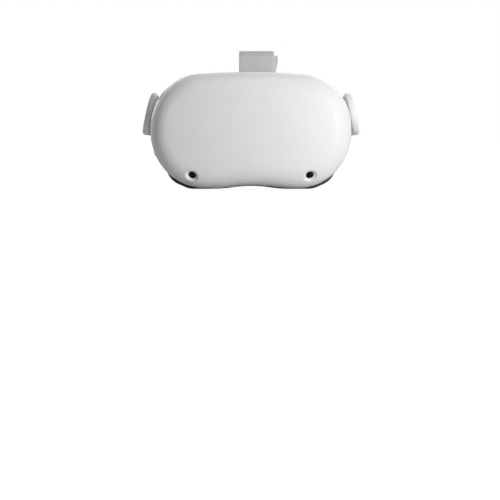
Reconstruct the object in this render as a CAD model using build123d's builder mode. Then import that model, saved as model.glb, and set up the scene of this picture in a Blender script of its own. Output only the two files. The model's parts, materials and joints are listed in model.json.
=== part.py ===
"""Standalone VR headset: a visor with its optics and electronics, a pull-off
facial interface, and a head strap on two rigid arms.

Frame: millimetres, +Z up, the front of the visor faces -Y, +X is the wearer's
left. Z = 0 is the surface that the headset stands on. Pieces are drawn with Y
measured back from the foremost point of the visor, and are written with the
origin in the middle of the footprint, ORIGIN_Y behind that point.
"""
from build123d import *
from math import asin, atan, cos, degrees, pi, radians, sin, sqrt, tan
import os

# ---------------------------------------------------------------- dimensions
# Visor outline, in front view
VISOR_TOP = 103.0
TOP_RADIUS = 675.0
TOP_SWEEP = 3.9
CORNER_RADIUS = 44.0
CORNER_SWEEP = 54.1
SIDE_RADIUS = 49.3
SIDE_FLAT = 4.7
CHEEK_RADIUS = 47.7
BOTTOM_HUMP = 2.5
# Visor shell
FRONT_RADIUS = 310.0
EDGE_RADIUS = 20.0
COVER_DEPTH = 46.0
WALL = 2.2
SEAM = 0.6
REAR_STEP = 1.2
HOUSING_DEPTH = 20.0
HOUSING_EDGE = 2.0
LIP_REACH = 6.0
LIP_WALL = 1.6
# Optics
EYE_HEIGHT = 52.0
EYE_SPACING = 63.0
EYE_TRAVEL = 2.5
LENS_RADIUS = 22.0
LENS_SEAT = 1.0
LENS_DEPTH = 4.0
BARREL_WALL = 2.0
BARREL_LENGTH = 27.0
BEZEL_DEPTH = 5.0
LENS_EDGE = 2.0
LENS_BULGE = 5.0
LENS_GAP = 0.5
BEZEL_EDGE = 1.2
DISPLAY = (120.0, 3.0, 64.0)
DISPLAY_CORNER = 2.0
# Eye-spacing mechanism
RAIL_RADIUS = 1.5
RAIL_OFFSET = 31.0
RAIL_HALF = 67.0
RAIL_Y = 40.0
RUNNING_FIT = 0.05
GEAR_MODULE = 0.8
GEAR_TEETH = 12
GEAR_WIDTH = 3.0
GEAR_STEP = 6.0
PINION_RISE = 3.0
PRESSURE_ANGLE = 20.0
BACKLASH = 0.2
RACK_BACK = 2.4
RACK_TIP = 9.0
RACK_TEETH = 6
RACK_RUNNER = 7.0
PIN_RADIUS = 1.0
PIN_HEAD = 0.8
PIN_REACH = 0.4
LUG = (14.0, 8.0)
LUG_WALL = 2.2
RAIL_POST = (6.0, 9.0)
RAIL_POST_WALL = 2.5
BRIDGE = (7.0, 2.5)
BRIDGE_RISE = 3.0
# Chassis and electronics
CHASSIS_Y = 20.0
CHASSIS_PLATE = 2.0
CHASSIS_INSET = 9.5
BOARD = (68.0, 1.2, 40.0)
BOARD_CENTRE = (10.0, 45.0)
BOARD_GAP = 2.8
BOARD_CORNER = 3.0
BOARD_MARGIN = 4.0
BOARD_HOLE = 0.8
STANDOFF_RADIUS = 2.2
CHIPS = ((-8.0, 0.0, 16.0, 16.0), (16.0, 6.0, 14.0, 11.0), (16.0, -10.0, 12.0, 9.0))
CHIP_HEIGHT = 1.4
SPREADER = (60.0, 1.5, 36.0)
SPREADER_CORNER = 4.0
FIN = (1.0, 1.6)
FIN_PITCH = 5.0
FIN_COUNT = 12
FIN_MARGIN = 4.0
BATTERY = (38.0, 7.0, 50.0)
BATTERY_CENTRE = (-48.0, 54.0)
BATTERY_CORNER = 3.0
BATTERY_EDGE = 1.2
CAMERA_NOTCH = (74.0, 79.0, 10.0)
FAN_CENTRE = (0.0, 81.0)
FAN_RADIUS = 14.0
FAN_DEPTH = 8.0
FAN_WALL = 1.0
FAN_BLADES = 11
FAN_INLET = 0.55
FAN_HUB = 0.38
FAN_RING = 0.62
BLADE = (0.56, 0.9)
BLADE_TURN = 28.0
FAN_CLEARANCE = 0.6
# Housing fittings
SCREW_POSTS = [(-58.0, 90.0), (58.0, 90.0), (-34.0, 10.5), (34.0, 10.5)]
POST_RADIUS = 3.2
SCREW_RADIUS = 1.0
SCREW_HEAD = (0.9, 1.2)
SCREW_LENGTH = 8.0
SCREW_BORE = 10.0
BOSS_WALL = 1.6
CLIP_HALF = 21.0
CLIP_ROD = 1.4
CLIP_DROP = 4.0
CLIP_POCKET = 8.2
CLIP_DEPTH = 7.0
CLIP_BORDER = 1.0
VENT = (6.0, 1.8)
VENT_PITCH = 9.0
VENT_COUNT = 6
VENT_DEPTH = 8.0
VENT_STEP = 2.0
HOOK = (12.0, 2.0)
HOOK_X = 45.0
HOOK_MARGIN = 2.5
HOOK_FIT = 0.5
# Face shroud
SHROUD = (140.0, 2.4, 76.0)
SHROUD_LEDGE = 5.0
SHROUD_CORNER = 30.0
SHROUD_GAP = 0.6
SENSOR_RADIUS = 3.2
SENSOR_DEPTH = 4.6
SENSOR_EDGE = 0.4
# Cameras
CAMERA_LOW = (51.2, 13.2)
CAMERA_HIGH_Y = 24.0
CAMERA_HIGH_ANGLE = 36.0
CAMERA_BARREL = 3.5
CAMERA_GLASS = 2.9
GLASS_THICK = 0.6
GLASS_SEAT = 0.8
CAMERA_WELL = 2.4
CAMERA_DISH = 2.2
CAMERA_FLARE = 7.4
CAMERA_LENGTH = 5.0
CAMERA_BODY = (8.0, 8.0, 3.0)
DISH_FIT = 0.4
SLEEVE_WALL = 1.4
# Controls and ports
CONTROL_Y = 32.5
BUTTON_ANGLE = 22.0
JACK_ANGLE = 37.0
BUTTON = (8.0, 4.4)
BUTTON_PROUD = 0.6
BUTTON_TRAVEL = 0.8
BUTTON_FIT = 0.25
BUTTON_EDGE = 0.4
BUTTON_SKIRT = (1.0, 0.8)
SWITCH_PIN = 1.8
SWITCH_WALL = 1.2
CARRIER_GAP = 4.2
ROCKER_X = -24.0
ROCKER = (24.0, 5.0)
ROCKER_PROUD = 0.7
ROCKER_PIN = 0.8
ROCKER_AXLE = 3.4
ROCKER_SKIRT = 1.4
BRACKET = (10.0, 1.6)
USB = (9.0, 3.2, 7.3)
USB_FIT = 0.3
USB_INSET = 0.1
USB_BACK = 1.0
USB_TONGUE = (6.0, 0.7, 6.1)
PORT_SINK = 0.4
JACK_BORE = 1.8
JACK_RADIUS = 3.4
JACK_DEPTH = 11.5
LED_RADIUS = 1.0
# Facial interface
FACE_DEPTH = 6.0
FACE_RADIUS = 130.0
FACE_TOP = 99.0
FACE_TAPER = 4.5
FACE_CORNER = 36.0
FACE_HUMP = 2.6
CHEEK_CORNER = 22.0
CHEEK_REACH = 51.5
NOSE_HALF = 27.0
NOSE_HEIGHT = 24.0
NOSE_FILLET = 4.0
FLANGE_DEPTH = 2.0
FRAME_WALL = 2.4
FOAM_STEP = 0.4
FOAM_DEPTH = 10.0
FOAM_WIDTH = 13.0
# Strap arms
PIVOT_Y = 56.0
PIVOT_Z = 67.3
ARM_LEAN = 12.5
ARM_GAP = 0.9
ARM_THICK = 5.8
ARM_TALL = 37.4
ARM_END_Y = 150.0
ARM_END_THICK = 5.4
ARM_END_TALL = 27.0
ARM_EDGE = 2.0
ARM_SPLIT = 0.05
DUCT_SHARE = 0.2
DUCT_HALF = 4.0
DUCT_REACH = 50.0
DUCT_DROP = 1.5
DUCT_TURN = 3.0
PORT = (16.0, 2.4)
HUB_RADIUS = 6.5
HUB_BORE = 4.4
HUB_END = 0.8
BUSH_WALL = 1.6
BUSH_INNER_X = 72.0
BUSH_LENGTH = 7.0
SPEAKER = (3.5, 11.6, 20.0)
SPEAKER_CORNER = 4.0
SPEAKER_MOUTH = 1.0
# Straps
BAND_THICK = 2.5
BAND_RADIUS = 88.0
BAND_CENTRE_Y = 180.0
BAND_CURVE = 150.0
STRAP_Z = 60.0
SIDE_HALF = 12.0
BAND_INNER = 14.0
BAND_OUTER = 34.0
STRAP_GRIP = 12.0
FORK_Y = 198.0
LEVEL_Y = 238.0
TOP_WIDTH = 31.0
TOP_SHIFT = 5.0
TOP_THICK = 2.0
TOP_RADIUS_IN = 51.5
LAYER_GAP = 0.3
LAYER_START = 1.0
RISER_Y = 49.5
RISER_BEND = 5.0
TONGUE_END = 14.0
SLIDER_ANGLE = 28.0
SLIDER_SPAN = 8.0
SLIDER_WALL = 1.6
SLIDER_FIT = 0.35

# ------------------------------------------------------- derived dimensions
HOUSING_Y = COVER_DEPTH + SEAM
BACK_Y = HOUSING_Y + HOUSING_DEPTH
PLATE_Y = CHASSIS_Y + CHASSIS_PLATE
EYE_X = EYE_SPACING / 2
BARREL_RADIUS = LENS_RADIUS + BARREL_WALL
BARREL_Y = BACK_Y - WALL - SHROUD[1] - BARREL_LENGTH - SHROUD_GAP
LENS_Y = BARREL_Y + BARREL_LENGTH
PITCH_RADIUS = GEAR_MODULE * GEAR_TEETH / 2
PINION_Z = EYE_HEIGHT + BARREL_RADIUS + PINION_RISE
GEAR_Y = RAIL_Y + GEAR_STEP
RAIL_HEIGHTS = (EYE_HEIGHT - RAIL_OFFSET, EYE_HEIGHT + RAIL_OFFSET)
RAIL_POST_X = RAIL_HALF - RAIL_POST[0] / 2
LUG_REACH = RAIL_RADIUS + LUG_WALL
BRIDGE_Y = RAIL_Y - RAIL_RADIUS - BRIDGE_RISE
BRIDGE_Z = EYE_HEIGHT + DISPLAY[2] / 2 + BRIDGE_RISE
PIN_END_Y = GEAR_Y + GEAR_WIDTH + PIN_REACH
TOOTH_PITCH = pi * GEAR_MODULE
RACK_LINE = 1.25 * GEAR_MODULE
LOW_RACK_Z = PINION_Z - PITCH_RADIUS
HIGH_RACK_Z = PINION_Z + PITCH_RADIUS
CLIP_Z = VISOR_TOP - CLIP_DROP
HOOK_Z = (
    EYE_HEIGHT - SHROUD[2] / 2 - HOOK_MARGIN,
    EYE_HEIGHT + SHROUD[2] / 2 + HOOK_MARGIN,
)
SHROUD_Y = BACK_Y - WALL - SHROUD[1]
SENSOR_Z = EYE_HEIGHT + SHROUD[2] / 2 - 1.5 * SHROUD_LEDGE - SENSOR_RADIUS - PIN_RADIUS
BOARD_Y = CHASSIS_Y - BOARD_GAP
SPREADER_Y = BOARD_Y - BOARD[1] - CHIP_HEIGHT
CARRIER_DEPTH = WALL + CARRIER_GAP
LEAN = radians(ARM_LEAN)
ORIGIN_Y = (BAND_CENTRE_Y + BAND_RADIUS) / 2
os.makedirs("parts", exist_ok=True)


def station(y):
    """Plane across the headset at depth y, with X to the right and Z up."""
    return Plane.XZ.offset(-y)


def save(builder, name):
    """Label a finished piece, set it over the origin and write its STEP file."""
    builder.part.label = name
    placed = builder.part.moved(Location((0, -ORIGIN_Y, 0)))
    placed.label = name
    export_step(placed, f"parts/{name}.step")


def mirrored(builder, name):
    """Write the piece's mirror image across the middle of the headset."""
    with BuildPart() as twin:
        mirror(builder.part, about=Plane.YZ)
    save(twin, name)
    return twin


# ------------------------------------------------------------ visor outline
with BuildLine() as visor_line:
    top_arc = JernArc((0, VISOR_TOP), (1, 0), TOP_RADIUS, -TOP_SWEEP)
    corner = JernArc(top_arc @ 1, top_arc % 1, CORNER_RADIUS, -CORNER_SWEEP)
    side = JernArc(corner @ 1, corner % 1, SIDE_RADIUS, TOP_SWEEP + CORNER_SWEEP - 90)
    flat = Line(side @ 1, side @ 1 - Vector(0, SIDE_FLAT))
    cheek = JernArc(flat @ 1, flat % 1, CHEEK_RADIUS, -90)
    half_run = (cheek @ 1).X / 2
    hump_radius = (half_run**2 + (BOTTOM_HUMP / 2) ** 2) / BOTTOM_HUMP
    hump_sweep = 2 * degrees(atan(BOTTOM_HUMP / 2 / half_run))
    dip = JernArc(cheek @ 1, cheek % 1, hump_radius, -hump_sweep)
    JernArc(dip @ 1, dip % 1, hump_radius, hump_sweep)
    mirror(about=Plane.YZ)

SIDE_X = (side @ 1).X
SIDE_CENTRE = (SIDE_X - SIDE_RADIUS, (side @ 1).Y)
CHEEK_CENTRE = (SIDE_X - CHEEK_RADIUS, (flat @ 1).Y)
CORNER_TOP = top_arc @ 1
CORNER_CENTRE = CORNER_TOP - CORNER_RADIUS * Vector(sin(radians(TOP_SWEEP)), cos(radians(TOP_SWEEP)))


def visor_section(y, inset=0.0):
    """Face of the visor outline at depth y, drawn in by inset."""
    with BuildSketch(station(y)) as section:
        with BuildLine():
            add(visor_line.line)
        make_face()
        if inset:
            offset(amount=-inset)
    return section.sketch


def visor_form(inset=0.0):
    """Solid front of the visor: the outline, a domed face and a rounded edge."""
    with BuildPart() as form:
        extrude(visor_section(0, inset), amount=-COVER_DEPTH)
        with Locations((0, FRONT_RADIUS, EYE_HEIGHT)):
            Sphere(FRONT_RADIUS - inset, mode=Mode.INTERSECT)
        dome = form.faces().filter_by(GeomType.SPHERE)[0]
        fillet(dome.edges(), EDGE_RADIUS - inset)
    return form.part


def side_plane(angle):
    """Plane on the visor's left cheek, angle degrees below its flat side."""
    turn = radians(angle)
    outward = Vector(cos(turn), 0, -sin(turn))
    origin = Vector(CHEEK_CENTRE[0], CONTROL_Y, CHEEK_CENTRE[1]) + CHEEK_RADIUS * outward
    return Plane(origin=origin, x_dir=(0, 1, 0), z_dir=outward)


outer_form = visor_form()
inner_form = visor_form(WALL)

low_hit = outer_form.find_intersection_points(Axis((CAMERA_LOW[0], -50, CAMERA_LOW[1]), (0, 1, 0)))[0]
high_turn = radians(CAMERA_HIGH_ANGLE)
high_start = Vector(CORNER_CENTRE.X, CAMERA_HIGH_Y, CORNER_CENTRE.Y)
high_way = Vector(cos(high_turn), 0, sin(high_turn))
high_hit = outer_form.find_intersection_points(Axis(high_start + 200 * high_way, -high_way))[0]
camera_planes = {
    "lower": Plane(origin=low_hit[0], z_dir=low_hit[1]),
    "upper": Plane(origin=high_hit[0], z_dir=high_hit[1]),
}
button_plane = side_plane(BUTTON_ANGLE)
jack_plane = side_plane(JACK_ANGLE)
rocker_hit = outer_form.find_intersection_points(Axis((ROCKER_X, CONTROL_Y, -50), (0, 0, 1)))[0]
rocker_plane = Plane(origin=rocker_hit[0], x_dir=(1, 0, 0), z_dir=rocker_hit[1])

# ------------------------------------------------------------- front cover
INWARD = (Align.CENTER, Align.CENTER, Align.MAX)
OUTWARD = (Align.CENTER, Align.CENTER, Align.MIN)


def flipped(plane):
    """The same plane on the other cheek of the visor."""
    place = plane.origin
    outward = plane.z_dir
    return Plane(
        origin=(-place.X, place.Y, place.Z),
        x_dir=(0, 1, 0),
        z_dir=(-outward.X, outward.Y, outward.Z),
    )


camera_bosses = []
camera_dishes = []
for plane in camera_planes.values():
    with BuildPart() as boss:
        with Locations(plane.offset(-CAMERA_DISH)):
            Cylinder(CAMERA_FLARE - DISH_FIT, CAMERA_DISH, align=OUTWARD)
            Cylinder(CAMERA_BARREL + SLEEVE_WALL, CAMERA_LENGTH / 2, align=INWARD)
        add(outer_form, mode=Mode.INTERSECT)
        mirror(about=Plane.YZ)
    camera_bosses.append(boss.part)
    with BuildPart() as dish:
        with Locations(plane.offset(-CAMERA_DISH)):
            Cone(CAMERA_BARREL, CAMERA_FLARE, CAMERA_DISH + GLASS_THICK, align=OUTWARD)
            Cylinder(CAMERA_BARREL, 2 * CAMERA_LENGTH, align=INWARD)
        mirror(about=Plane.YZ)
    camera_dishes.append(dish.part)

power_plane = flipped(button_plane)
led_plane = flipped(jack_plane)
with BuildPart() as front_cover:
    add(outer_form)
    add(inner_form, mode=Mode.SUBTRACT)
    for boss_part in camera_bosses:
        add(boss_part)
    for dish_part in camera_dishes:
        add(dish_part, mode=Mode.SUBTRACT)
    with BuildSketch(button_plane.offset(1)):
        SlotOverall(USB[0] + 2 * USB_FIT, USB[1] + 2 * USB_FIT)
    extrude(amount=-2 * WALL, mode=Mode.SUBTRACT)
    with BuildSketch(jack_plane.offset(1)):
        Circle(JACK_RADIUS)
    extrude(amount=-2 * WALL, mode=Mode.SUBTRACT)
    with BuildSketch(power_plane.offset(1)):
        SlotOverall(BUTTON[0] + 2 * BUTTON_FIT, BUTTON[1] + 2 * BUTTON_FIT)
    extrude(amount=-2 * WALL, mode=Mode.SUBTRACT)
    with BuildSketch(led_plane.offset(1)):
        Circle(LED_RADIUS)
    extrude(amount=-2 * WALL, mode=Mode.SUBTRACT)
    with BuildSketch(rocker_plane.offset(2)):
        SlotOverall(ROCKER[0] + 2 * BUTTON_FIT, ROCKER[1] + 2 * BUTTON_FIT)
    extrude(amount=-3 * WALL, mode=Mode.SUBTRACT)
save(front_cover, "front_cover")

# ----------------------------------------------------------------- cameras
for height, plane in camera_planes.items():
    with BuildPart() as camera:
        with Locations(plane.offset(-CAMERA_DISH)):
            Cylinder(CAMERA_BARREL, CAMERA_LENGTH, align=INWARD)
            CounterBoreHole(CAMERA_GLASS - GLASS_SEAT, CAMERA_GLASS, GLASS_SEAT, depth=CAMERA_WELL)
        with Locations(plane.offset(-CAMERA_DISH - CAMERA_LENGTH)):
            Box(*CAMERA_BODY, align=INWARD)
    save(camera, f"camera_{height}_left")
    mirrored(camera, f"camera_{height}_right")
    with BuildPart() as window:
        with Locations(plane.offset(-CAMERA_DISH - GLASS_SEAT)):
            Cylinder(CAMERA_GLASS, GLASS_THICK, align=OUTWARD)
    save(window, f"camera_window_{height}_left")
    mirrored(window, f"camera_window_{height}_right")

# ------------------------------------------------------------- rear housing
PIVOT_PLANE = Plane(origin=(0, PIVOT_Y, PIVOT_Z), x_dir=(0, 1, 0), z_dir=(1, 0, 0))

with BuildPart() as rear_housing:
    extrude(visor_section(HOUSING_Y, REAR_STEP), amount=-HOUSING_DEPTH)
    fillet(rear_housing.faces().sort_by(Axis.Y)[-1].edges(), HOUSING_EDGE)
    extrude(visor_section(HOUSING_Y, REAR_STEP + WALL), amount=-HOUSING_DEPTH + WALL, mode=Mode.SUBTRACT)
    # lip that the front cover slides over
    extrude(visor_section(COVER_DEPTH - LIP_REACH, WALL), amount=-LIP_REACH - SEAM - WALL)
    extrude(
        visor_section(COVER_DEPTH - LIP_REACH, WALL + LIP_WALL),
        amount=-LIP_REACH - SEAM - WALL,
        mode=Mode.SUBTRACT,
    )
    # pivot sockets for the strap arms
    with BuildSketch(PIVOT_PLANE.offset(BUSH_INNER_X)):
        Circle(HUB_RADIUS + RUNNING_FIT + BUSH_WALL + BOSS_WALL)
    extrude(until=Until.NEXT)
    with BuildSketch(PIVOT_PLANE.offset(-BUSH_INNER_X)):
        Circle(HUB_RADIUS + RUNNING_FIT + BUSH_WALL + BOSS_WALL)
    extrude(until=Until.NEXT, dir=(-1, 0, 0))
    with BuildSketch(PIVOT_PLANE.offset(-SIDE_X)):
        Circle(HUB_RADIUS + RUNNING_FIT + BUSH_WALL)
    extrude(amount=2 * SIDE_X, mode=Mode.SUBTRACT)
    # screw posts that carry the chassis
    with BuildSketch(station(PLATE_Y)):
        with Locations(*SCREW_POSTS):
            Circle(POST_RADIUS)
    extrude(amount=-(BACK_Y - WALL - PLATE_Y))
    with BuildSketch(station(PLATE_Y)):
        with Locations(*SCREW_POSTS):
            Circle(SCREW_RADIUS)
    extrude(amount=-SCREW_BORE, mode=Mode.SUBTRACT)
    # opening for the face shroud, with the slots for the interface's hooks
    with BuildSketch(station(BACK_Y)):
        with Locations((0, EYE_HEIGHT)):
            RectangleRounded(
                SHROUD[0] - 2 * SHROUD_LEDGE, SHROUD[2] - 2 * SHROUD_LEDGE, SHROUD_CORNER - SHROUD_LEDGE
            )
        with Locations(*[(x, z) for x in (-HOOK_X, HOOK_X) for z in HOOK_Z]):
            SlotOverall(HOOK[0] + 2 * HOOK_FIT, HOOK[1] + 2 * HOOK_FIT)
    extrude(amount=2 * WALL, mode=Mode.SUBTRACT)
    # pocket in the top for the strap clip, and the warm-air vents beside it
    with BuildSketch(Plane.XY.offset(VISOR_TOP)):
        with Locations((0, RISER_Y)):
            Rectangle(2 * CLIP_HALF, CLIP_DEPTH)
    extrude(amount=-CLIP_POCKET, mode=Mode.SUBTRACT)
    with BuildSketch(Plane.XY.offset(VISOR_TOP)):
        with Locations((0, PIVOT_Y + VENT_STEP)):
            with GridLocations(VENT_PITCH, 1, VENT_COUNT, 1):
                SlotOverall(*VENT)
    extrude(amount=-VENT_DEPTH, mode=Mode.SUBTRACT)
save(rear_housing, "rear_housing")

with BuildPart() as top_strap_clip:
    with BuildSketch(Plane.XY.offset(CLIP_Z + CLIP_ROD)):
        with Locations((0, RISER_Y)):
            Rectangle(2 * CLIP_HALF, CLIP_DEPTH)
            Rectangle(2 * CLIP_HALF - 4 * CLIP_BORDER, CLIP_DEPTH - 2 * CLIP_BORDER, mode=Mode.SUBTRACT)
    extrude(amount=-2 * CLIP_ROD)
    with BuildSketch(Plane.YZ.offset(-CLIP_HALF + CLIP_BORDER)):
        with Locations((RISER_Y, CLIP_Z)):
            Circle(CLIP_ROD)
    extrude(amount=2 * CLIP_HALF - 2 * CLIP_BORDER)
save(top_strap_clip, "top_strap_clip")

with BuildPart() as left_pivot_bush:
    with BuildSketch(PIVOT_PLANE.offset(BUSH_INNER_X)):
        Circle(HUB_RADIUS + RUNNING_FIT + BUSH_WALL)
        Circle(HUB_RADIUS + RUNNING_FIT, mode=Mode.SUBTRACT)
    extrude(amount=BUSH_LENGTH)
save(left_pivot_bush, "left_pivot_bush")
mirrored(left_pivot_bush, "right_pivot_bush")

with BuildPart() as left_speaker:
    with BuildSketch(PIVOT_PLANE.offset(BUSH_INNER_X)):
        RectangleRounded(SPEAKER[1], SPEAKER[2], SPEAKER_CORNER)
    extrude(amount=-SPEAKER[0])
    with BuildSketch(PIVOT_PLANE.offset(BUSH_INNER_X)):
        Circle(HUB_BORE)
    extrude(amount=-SPEAKER_MOUTH, mode=Mode.SUBTRACT)
save(left_speaker, "left_speaker")
mirrored(left_speaker, "right_speaker")

# ------------------------------------------------- chassis and electronics
with BuildPart() as chassis:
    extrude(visor_section(CHASSIS_Y, CHASSIS_INSET), amount=-CHASSIS_PLATE)
    with BuildSketch(station(CHASSIS_Y)):
        with Locations(*SCREW_POSTS):
            Circle(POST_RADIUS + SCREW_RADIUS)
    extrude(amount=-CHASSIS_PLATE)
    with BuildSketch(station(PLATE_Y)):
        with Locations(*[(x, z) for x in (-RAIL_POST_X, RAIL_POST_X) for z in RAIL_HEIGHTS]):
            Rectangle(*RAIL_POST)
    extrude(amount=-(RAIL_Y + RAIL_RADIUS + RAIL_POST_WALL - PLATE_Y))
    # bridge over the display, for the pinion's pin
    with BuildSketch(station(PLATE_Y)):
        with Locations((0, BRIDGE_Z)):
            Rectangle(BRIDGE[0], BRIDGE[1])
    extrude(amount=-(BRIDGE_Y - PLATE_Y))
    with BuildSketch(station(BRIDGE_Y)):
        with Locations((0, (BRIDGE_Z + BRIDGE[1] / 2 + PINION_Z - BRIDGE[0] / 2) / 2)):
            Rectangle(BRIDGE[0], BRIDGE_Z + BRIDGE[1] / 2 - PINION_Z + BRIDGE[0] / 2)
    extrude(amount=BRIDGE[1])
    with BuildSketch(station(CHASSIS_Y)):
        with Locations(BOARD_CENTRE):
            with GridLocations(BOARD[0] - 2 * BOARD_MARGIN, BOARD[2] - 2 * BOARD_MARGIN, 2, 2):
                Circle(STANDOFF_RADIUS)
    extrude(amount=BOARD_GAP)
    with BuildSketch(station(CHASSIS_Y - CHASSIS_PLATE)):
        with Locations(*SCREW_POSTS):
            Circle(SCREW_RADIUS)
    extrude(amount=-3 * CHASSIS_PLATE, mode=Mode.SUBTRACT)
    with BuildSketch(station(BRIDGE_Y - BRIDGE[1])):
        with Locations((0, PINION_Z)):
            Circle(PIN_RADIUS)
    extrude(amount=-BRIDGE[1], mode=Mode.SUBTRACT)
    # room for the upper cameras
    with BuildSketch(station(CHASSIS_Y)):
        with Locations(*[(hand * CAMERA_NOTCH[0], CAMERA_NOTCH[1]) for hand in (-1, 1)]):
            Circle(CAMERA_NOTCH[2])
    extrude(amount=-CHASSIS_PLATE, mode=Mode.SUBTRACT)
    with BuildSketch(Plane.YZ.offset(-RAIL_HALF)):
        with Locations(*[(RAIL_Y, z) for z in RAIL_HEIGHTS]):
            Circle(RAIL_RADIUS)
    extrude(amount=2 * RAIL_HALF, mode=Mode.SUBTRACT)
save(chassis, "chassis")

with BuildPart() as housing_screws:
    with BuildSketch(station(CHASSIS_Y)):
        with Locations(*SCREW_POSTS):
            Circle(SCREW_RADIUS + SCREW_HEAD[0])
    extrude(amount=SCREW_HEAD[1])
    with BuildSketch(station(CHASSIS_Y)):
        with Locations(*SCREW_POSTS):
            Circle(SCREW_RADIUS)
    extrude(amount=-SCREW_LENGTH)
save(housing_screws, "housing_screws")

with BuildPart() as main_board:
    with BuildSketch(station(BOARD_Y)):
        with Locations(BOARD_CENTRE):
            RectangleRounded(BOARD[0], BOARD[2], BOARD_CORNER)
            with GridLocations(BOARD[0] - 2 * BOARD_MARGIN, BOARD[2] - 2 * BOARD_MARGIN, 2, 2):
                Circle(BOARD_HOLE, mode=Mode.SUBTRACT)
    extrude(amount=BOARD[1])
    with BuildSketch(station(BOARD_Y - BOARD[1])):
        for across, up, wide, tall in CHIPS:
            with Locations((BOARD_CENTRE[0] + across, BOARD_CENTRE[1] + up)):
                Rectangle(wide, tall)
    extrude(amount=CHIP_HEIGHT)
save(main_board, "main_board")

with BuildPart() as heat_spreader:
    with BuildSketch(station(SPREADER_Y)):
        with Locations(BOARD_CENTRE):
            RectangleRounded(SPREADER[0], SPREADER[2], SPREADER_CORNER)
    extrude(amount=SPREADER[1])
    with BuildSketch(station(SPREADER_Y - SPREADER[1])):
        with Locations(BOARD_CENTRE):
            with GridLocations(FIN_PITCH, 1, FIN_COUNT, 1):
                Rectangle(FIN[0], SPREADER[2] - 2 * FIN_MARGIN)
    extrude(amount=FIN[1])
save(heat_spreader, "heat_spreader")

with BuildPart() as battery:
    with BuildSketch(station(CHASSIS_Y)):
        with Locations(BATTERY_CENTRE):
            RectangleRounded(BATTERY[0], BATTERY[2], BATTERY_CORNER)
    extrude(amount=BATTERY[1])
    fillet(battery.faces().sort_by(Axis.Y)[0].edges(), BATTERY_EDGE)
save(battery, "battery")

with BuildPart() as display_panel:
    with BuildSketch(station(PLATE_Y)):
        with Locations((0, EYE_HEIGHT)):
            RectangleRounded(DISPLAY[0], DISPLAY[2], DISPLAY_CORNER)
    extrude(amount=-DISPLAY[1])
save(display_panel, "display_panel")

# --------------------------------------------------------------------- fan
with BuildPart() as fan_housing:
    with BuildSketch(station(CHASSIS_Y)):
        with Locations(FAN_CENTRE):
            Circle(FAN_RADIUS)
            with Locations((FAN_RADIUS / 2, FAN_RADIUS / 2)):
                Rectangle(FAN_RADIUS, FAN_RADIUS)
    extrude(amount=FAN_DEPTH)
    with BuildSketch(station(CHASSIS_Y - FAN_WALL)):
        with Locations(FAN_CENTRE):
            Circle(FAN_RADIUS - FAN_WALL)
            with Locations((FAN_RADIUS / 2 + FAN_WALL, FAN_RADIUS / 2 + 2 * FAN_WALL)):
                Rectangle(FAN_RADIUS - 2 * FAN_WALL, FAN_RADIUS)
    extrude(amount=FAN_DEPTH - 2 * FAN_WALL, mode=Mode.SUBTRACT)
    with BuildSketch(station(CHASSIS_Y - FAN_DEPTH)):
        with Locations(FAN_CENTRE):
            Circle(FAN_RADIUS * FAN_INLET)
    extrude(amount=-2 * FAN_WALL, mode=Mode.SUBTRACT)
    with BuildSketch(station(CHASSIS_Y - FAN_WALL)):
        with Locations(FAN_CENTRE):
            Circle(PIN_RADIUS)
    extrude(amount=FAN_DEPTH - 3 * FAN_WALL)
save(fan_housing, "fan_housing")

with BuildPart() as fan_rotor:
    with BuildSketch(station(CHASSIS_Y - FAN_WALL - FAN_CLEARANCE)):
        with Locations(FAN_CENTRE):
            Circle(FAN_RADIUS * FAN_HUB)
            with PolarLocations(FAN_RADIUS * FAN_RING, FAN_BLADES):
                Rectangle(FAN_RADIUS * BLADE[0], BLADE[1], rotation=BLADE_TURN)
    extrude(amount=FAN_DEPTH - 2 * FAN_WALL - 2 * FAN_CLEARANCE)
    with BuildSketch(station(CHASSIS_Y)):
        with Locations(FAN_CENTRE):
            Circle(PIN_RADIUS + RUNNING_FIT)
    extrude(amount=FAN_DEPTH, mode=Mode.SUBTRACT)
save(fan_rotor, "fan_rotor")

# ------------------------------------------------------ eye-spacing optics
with BuildPart() as upper_rail:
    with BuildSketch(Plane.YZ.offset(-RAIL_HALF)):
        with Locations((RAIL_Y, RAIL_HEIGHTS[1])):
            Circle(RAIL_RADIUS)
    extrude(amount=2 * RAIL_HALF)
save(upper_rail, "upper_rail")

with BuildPart() as lower_rail:
    with BuildSketch(Plane.YZ.offset(-RAIL_HALF)):
        with Locations((RAIL_Y, RAIL_HEIGHTS[0])):
            Circle(RAIL_RADIUS)
    extrude(amount=2 * RAIL_HALF)
save(lower_rail, "lower_rail")

with BuildPart() as left_lens_carrier:
    with BuildSketch(station(BARREL_Y)):
        with Locations((EYE_X, EYE_HEIGHT)):
            Circle(BARREL_RADIUS)
    extrude(amount=-BARREL_LENGTH)
    with BuildSketch(station(RAIL_Y - LUG_REACH)):
        with Locations((EYE_X, EYE_HEIGHT)):
            Rectangle(LUG[0], 2 * (RAIL_OFFSET + LUG_REACH))
    extrude(amount=-2 * LUG_REACH)
    with BuildSketch(station(BARREL_Y)):
        with Locations((EYE_X, EYE_HEIGHT)):
            Circle(LENS_RADIUS - LENS_SEAT)
    extrude(amount=-BARREL_LENGTH, mode=Mode.SUBTRACT)
    with BuildSketch(station(LENS_Y)):
        with Locations((EYE_X, EYE_HEIGHT)):
            Circle(LENS_RADIUS)
    extrude(amount=LENS_DEPTH, mode=Mode.SUBTRACT)
    with BuildSketch(Plane.YZ):
        with Locations(*[(RAIL_Y, z) for z in RAIL_HEIGHTS]):
            Circle(RAIL_RADIUS + RUNNING_FIT)
    extrude(amount=2 * RAIL_HALF, mode=Mode.SUBTRACT)
save(left_lens_carrier, "left_lens_carrier")
mirrored(left_lens_carrier, "right_lens_carrier")

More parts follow.
